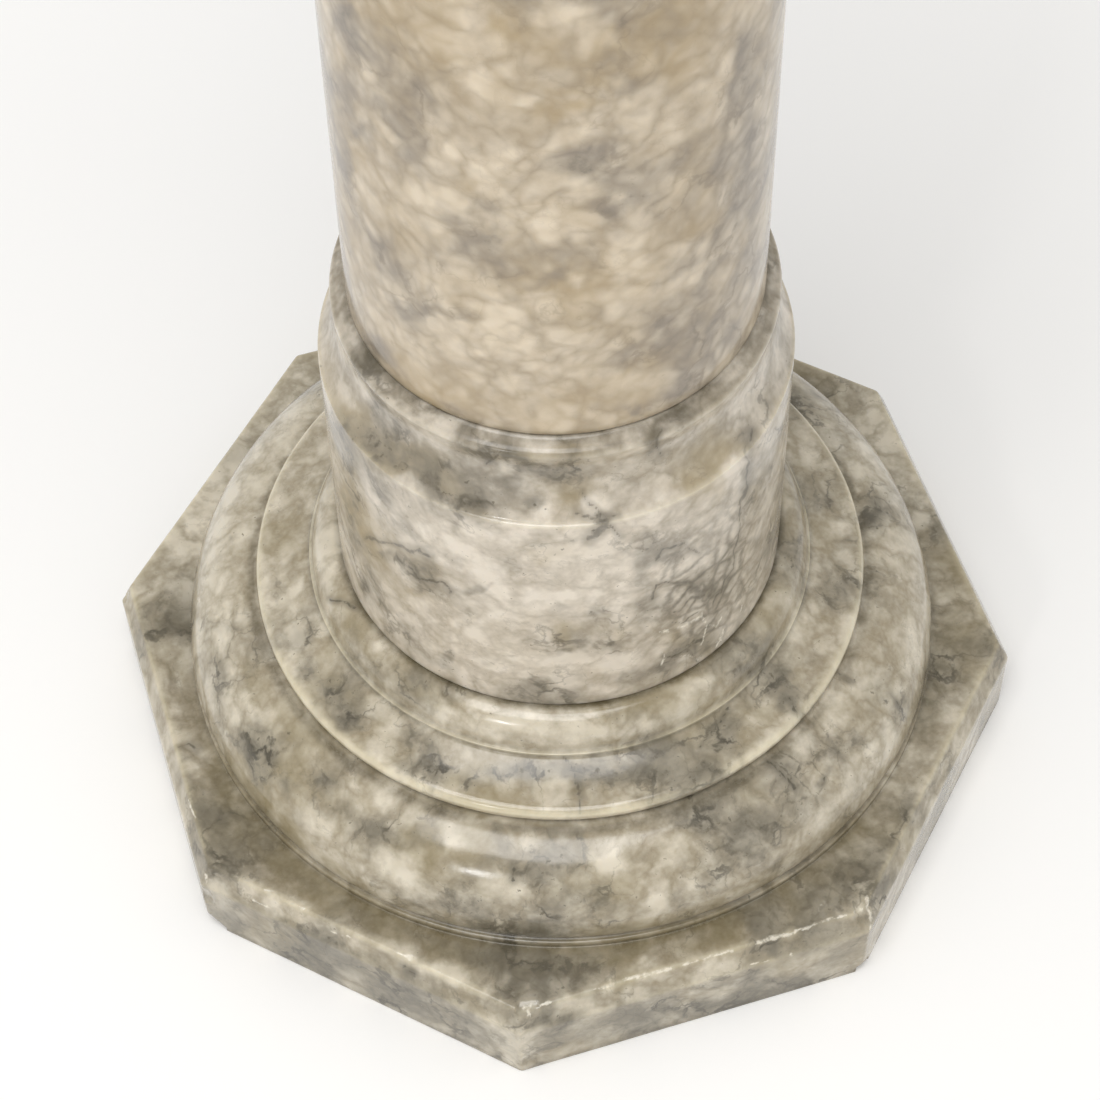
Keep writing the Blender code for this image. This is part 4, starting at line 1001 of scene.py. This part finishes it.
def makeCap():
    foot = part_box("cap_block")[0].z / mm
    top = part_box("cap_block")[1].z / mm
    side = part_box("cap_block")[1].x / mm
    step, bevel, arris = cap["step"], cap["bevel"], cap["arris"]
    under = side - bevel
    roundFoot = foot + 2 * cap["nose"]
    slab = roundFoot + cap["round"]
    edge = cap["noseMiddle"] + cap["round"]
    nose = arc((cap["noseMiddle"], foot + cap["nose"]), cap["nose"], cap["nose"], -90, 90, step)
    quarter = arc((cap["noseMiddle"], slab), cap["round"], cap["round"], -90, 0, step)
    soffit = run((edge + 0.2, slab), (under, slab), step)
    corners = [(under, slab), (side, slab + bevel), (side, top - bevel), (under, top), (0, top)]
    block = []
    for before, corner, after in zip([soffit[0]] + corners, corners, corners[1:]):
        turn = eased(before, corner, after, arris)
        block += (run(block[-1], turn[0], step)[1:-1] if block else []) + turn
    disc = level(cap["footRows"], foot) + nose + quarter[1:]
    rows = disc + soffit[:-1] + block + level(cap["topRows"], top)
    plain = len(disc)
    octagon = np.ones(len(rows))
    octagon[:plain] = 0
    octagon[plain:plain + len(soffit) - 1] = np.linspace(0, 1, len(soffit) - 1)
    settings = dict(cap)
    # darkening under the soffit, at the nose and at the neck's joint: partly dirt, partly painted shade
    settings["grimeAt"] = [
        (edge, slab, 3.0, 0.7), (cap["noseMiddle"], roundFoot, 2.5, 0.8), (neck["drum"], foot, 3.0, 0.7),
    ]
    # paler arrises: partly rubbing, partly a painted highlight
    settings["arrisAt"] = [
        (side, slab + bevel, 1.0, 0.6), (side, top - bevel, 1.0, 0.7), (under, top, 1.2, 0.9),
        (cap["noseMiddle"] + cap["nose"], foot + cap["nose"], 3.0, 0.7),
    ]
    capLook = dict(baseLook, shift=(700, 330, 90))
    return turnStone("capStone", rows, octagon, settings, makeAlabaster("cap alabaster", capLook))


baseStone = makeBase()
print("base turned")
collarStone, collarMaterial = makeCollar()
print("collar turned")
shaftStone = makeShaft()
print("shaft turned")
neckStone = makeNeck(collarMaterial)
capStone = makeCap()
print("neck and cap turned")

stones = [
    (baseStone, "base_block", "base_stone"),
    (collarStone, "lower_collar", "collar_stone"),
    (shaftStone, "shaft", "shaft_stone"),
    (neckStone, "neck_drum", "collar_stone"),
    (capStone, "cap_block", "base_stone"),
]
for piece, node, slot in stones:
    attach(piece, "root")
    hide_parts(node)
    print(piece.name, len(piece.data.polygons), "faces")


# Floor and light of a plain white studio
studio = {
    "floorSize": 12.0, "floorTone": "#fcfbf9", "floorRoughness": 0.9, "sky": 0.58,
    "aimHeight": 0.1,  # of the point that the lights face
    # name, azimuth and elevation from the base in degrees, distance, size (m) and power (W)
    "lights": [
        ("overheadLight", -125, 73, 5.0, 2.8, 134),
        ("smallLight", -130, 30, 2.2, 0.22, 3.5),
    ],
}


def makeStudio():
    half = studio["floorSize"] / 2
    plane = bpy.data.meshes.new("floor")
    corners = [(-half, -half, 0), (half, -half, 0), (half, half, 0), (-half, half, 0)]
    plane.from_pydata(corners, [], [(0, 1, 2, 3)])
    floor = bpy.data.objects.new("floor", plane)
    bpy.context.scene.collection.objects.link(floor)
    paper = bpy.data.materials.new("matt white paper")
    paper.use_nodes = True
    matt = paper.node_tree.nodes["Principled BSDF"].inputs
    matt["Base Color"].default_value = linear(studio["floorTone"])
    matt["Roughness"].default_value = studio["floorRoughness"]
    plane.materials.append(paper)
    for name, azimuth, elevation, distance, size, power in studio["lights"]:
        lamp = bpy.data.lights.new(name, "AREA")
        lamp.size = size
        lamp.energy = power
        light = bpy.data.objects.new(name, lamp)
        bpy.context.scene.collection.objects.link(light)
        a, e = math.radians(azimuth), math.radians(elevation)
        away = Vector((math.cos(a) * math.cos(e), math.sin(a) * math.cos(e), math.sin(e)))
        light.location = away * distance + Vector((0, 0, studio["aimHeight"]))
        light.rotation_euler = away.to_track_quat("Z", "Y").to_euler()
    world = bpy.data.worlds.new("white studio")
    world.use_nodes = True
    sky = world.node_tree.nodes["Background"].inputs
    sky["Color"].default_value = (1, 1, 1, 1)
    sky["Strength"].default_value = studio["sky"]
    bpy.context.scene.world = world
    bpy.context.scene.view_settings.view_transform = "Standard"


makeStudio()
print("studio lit")
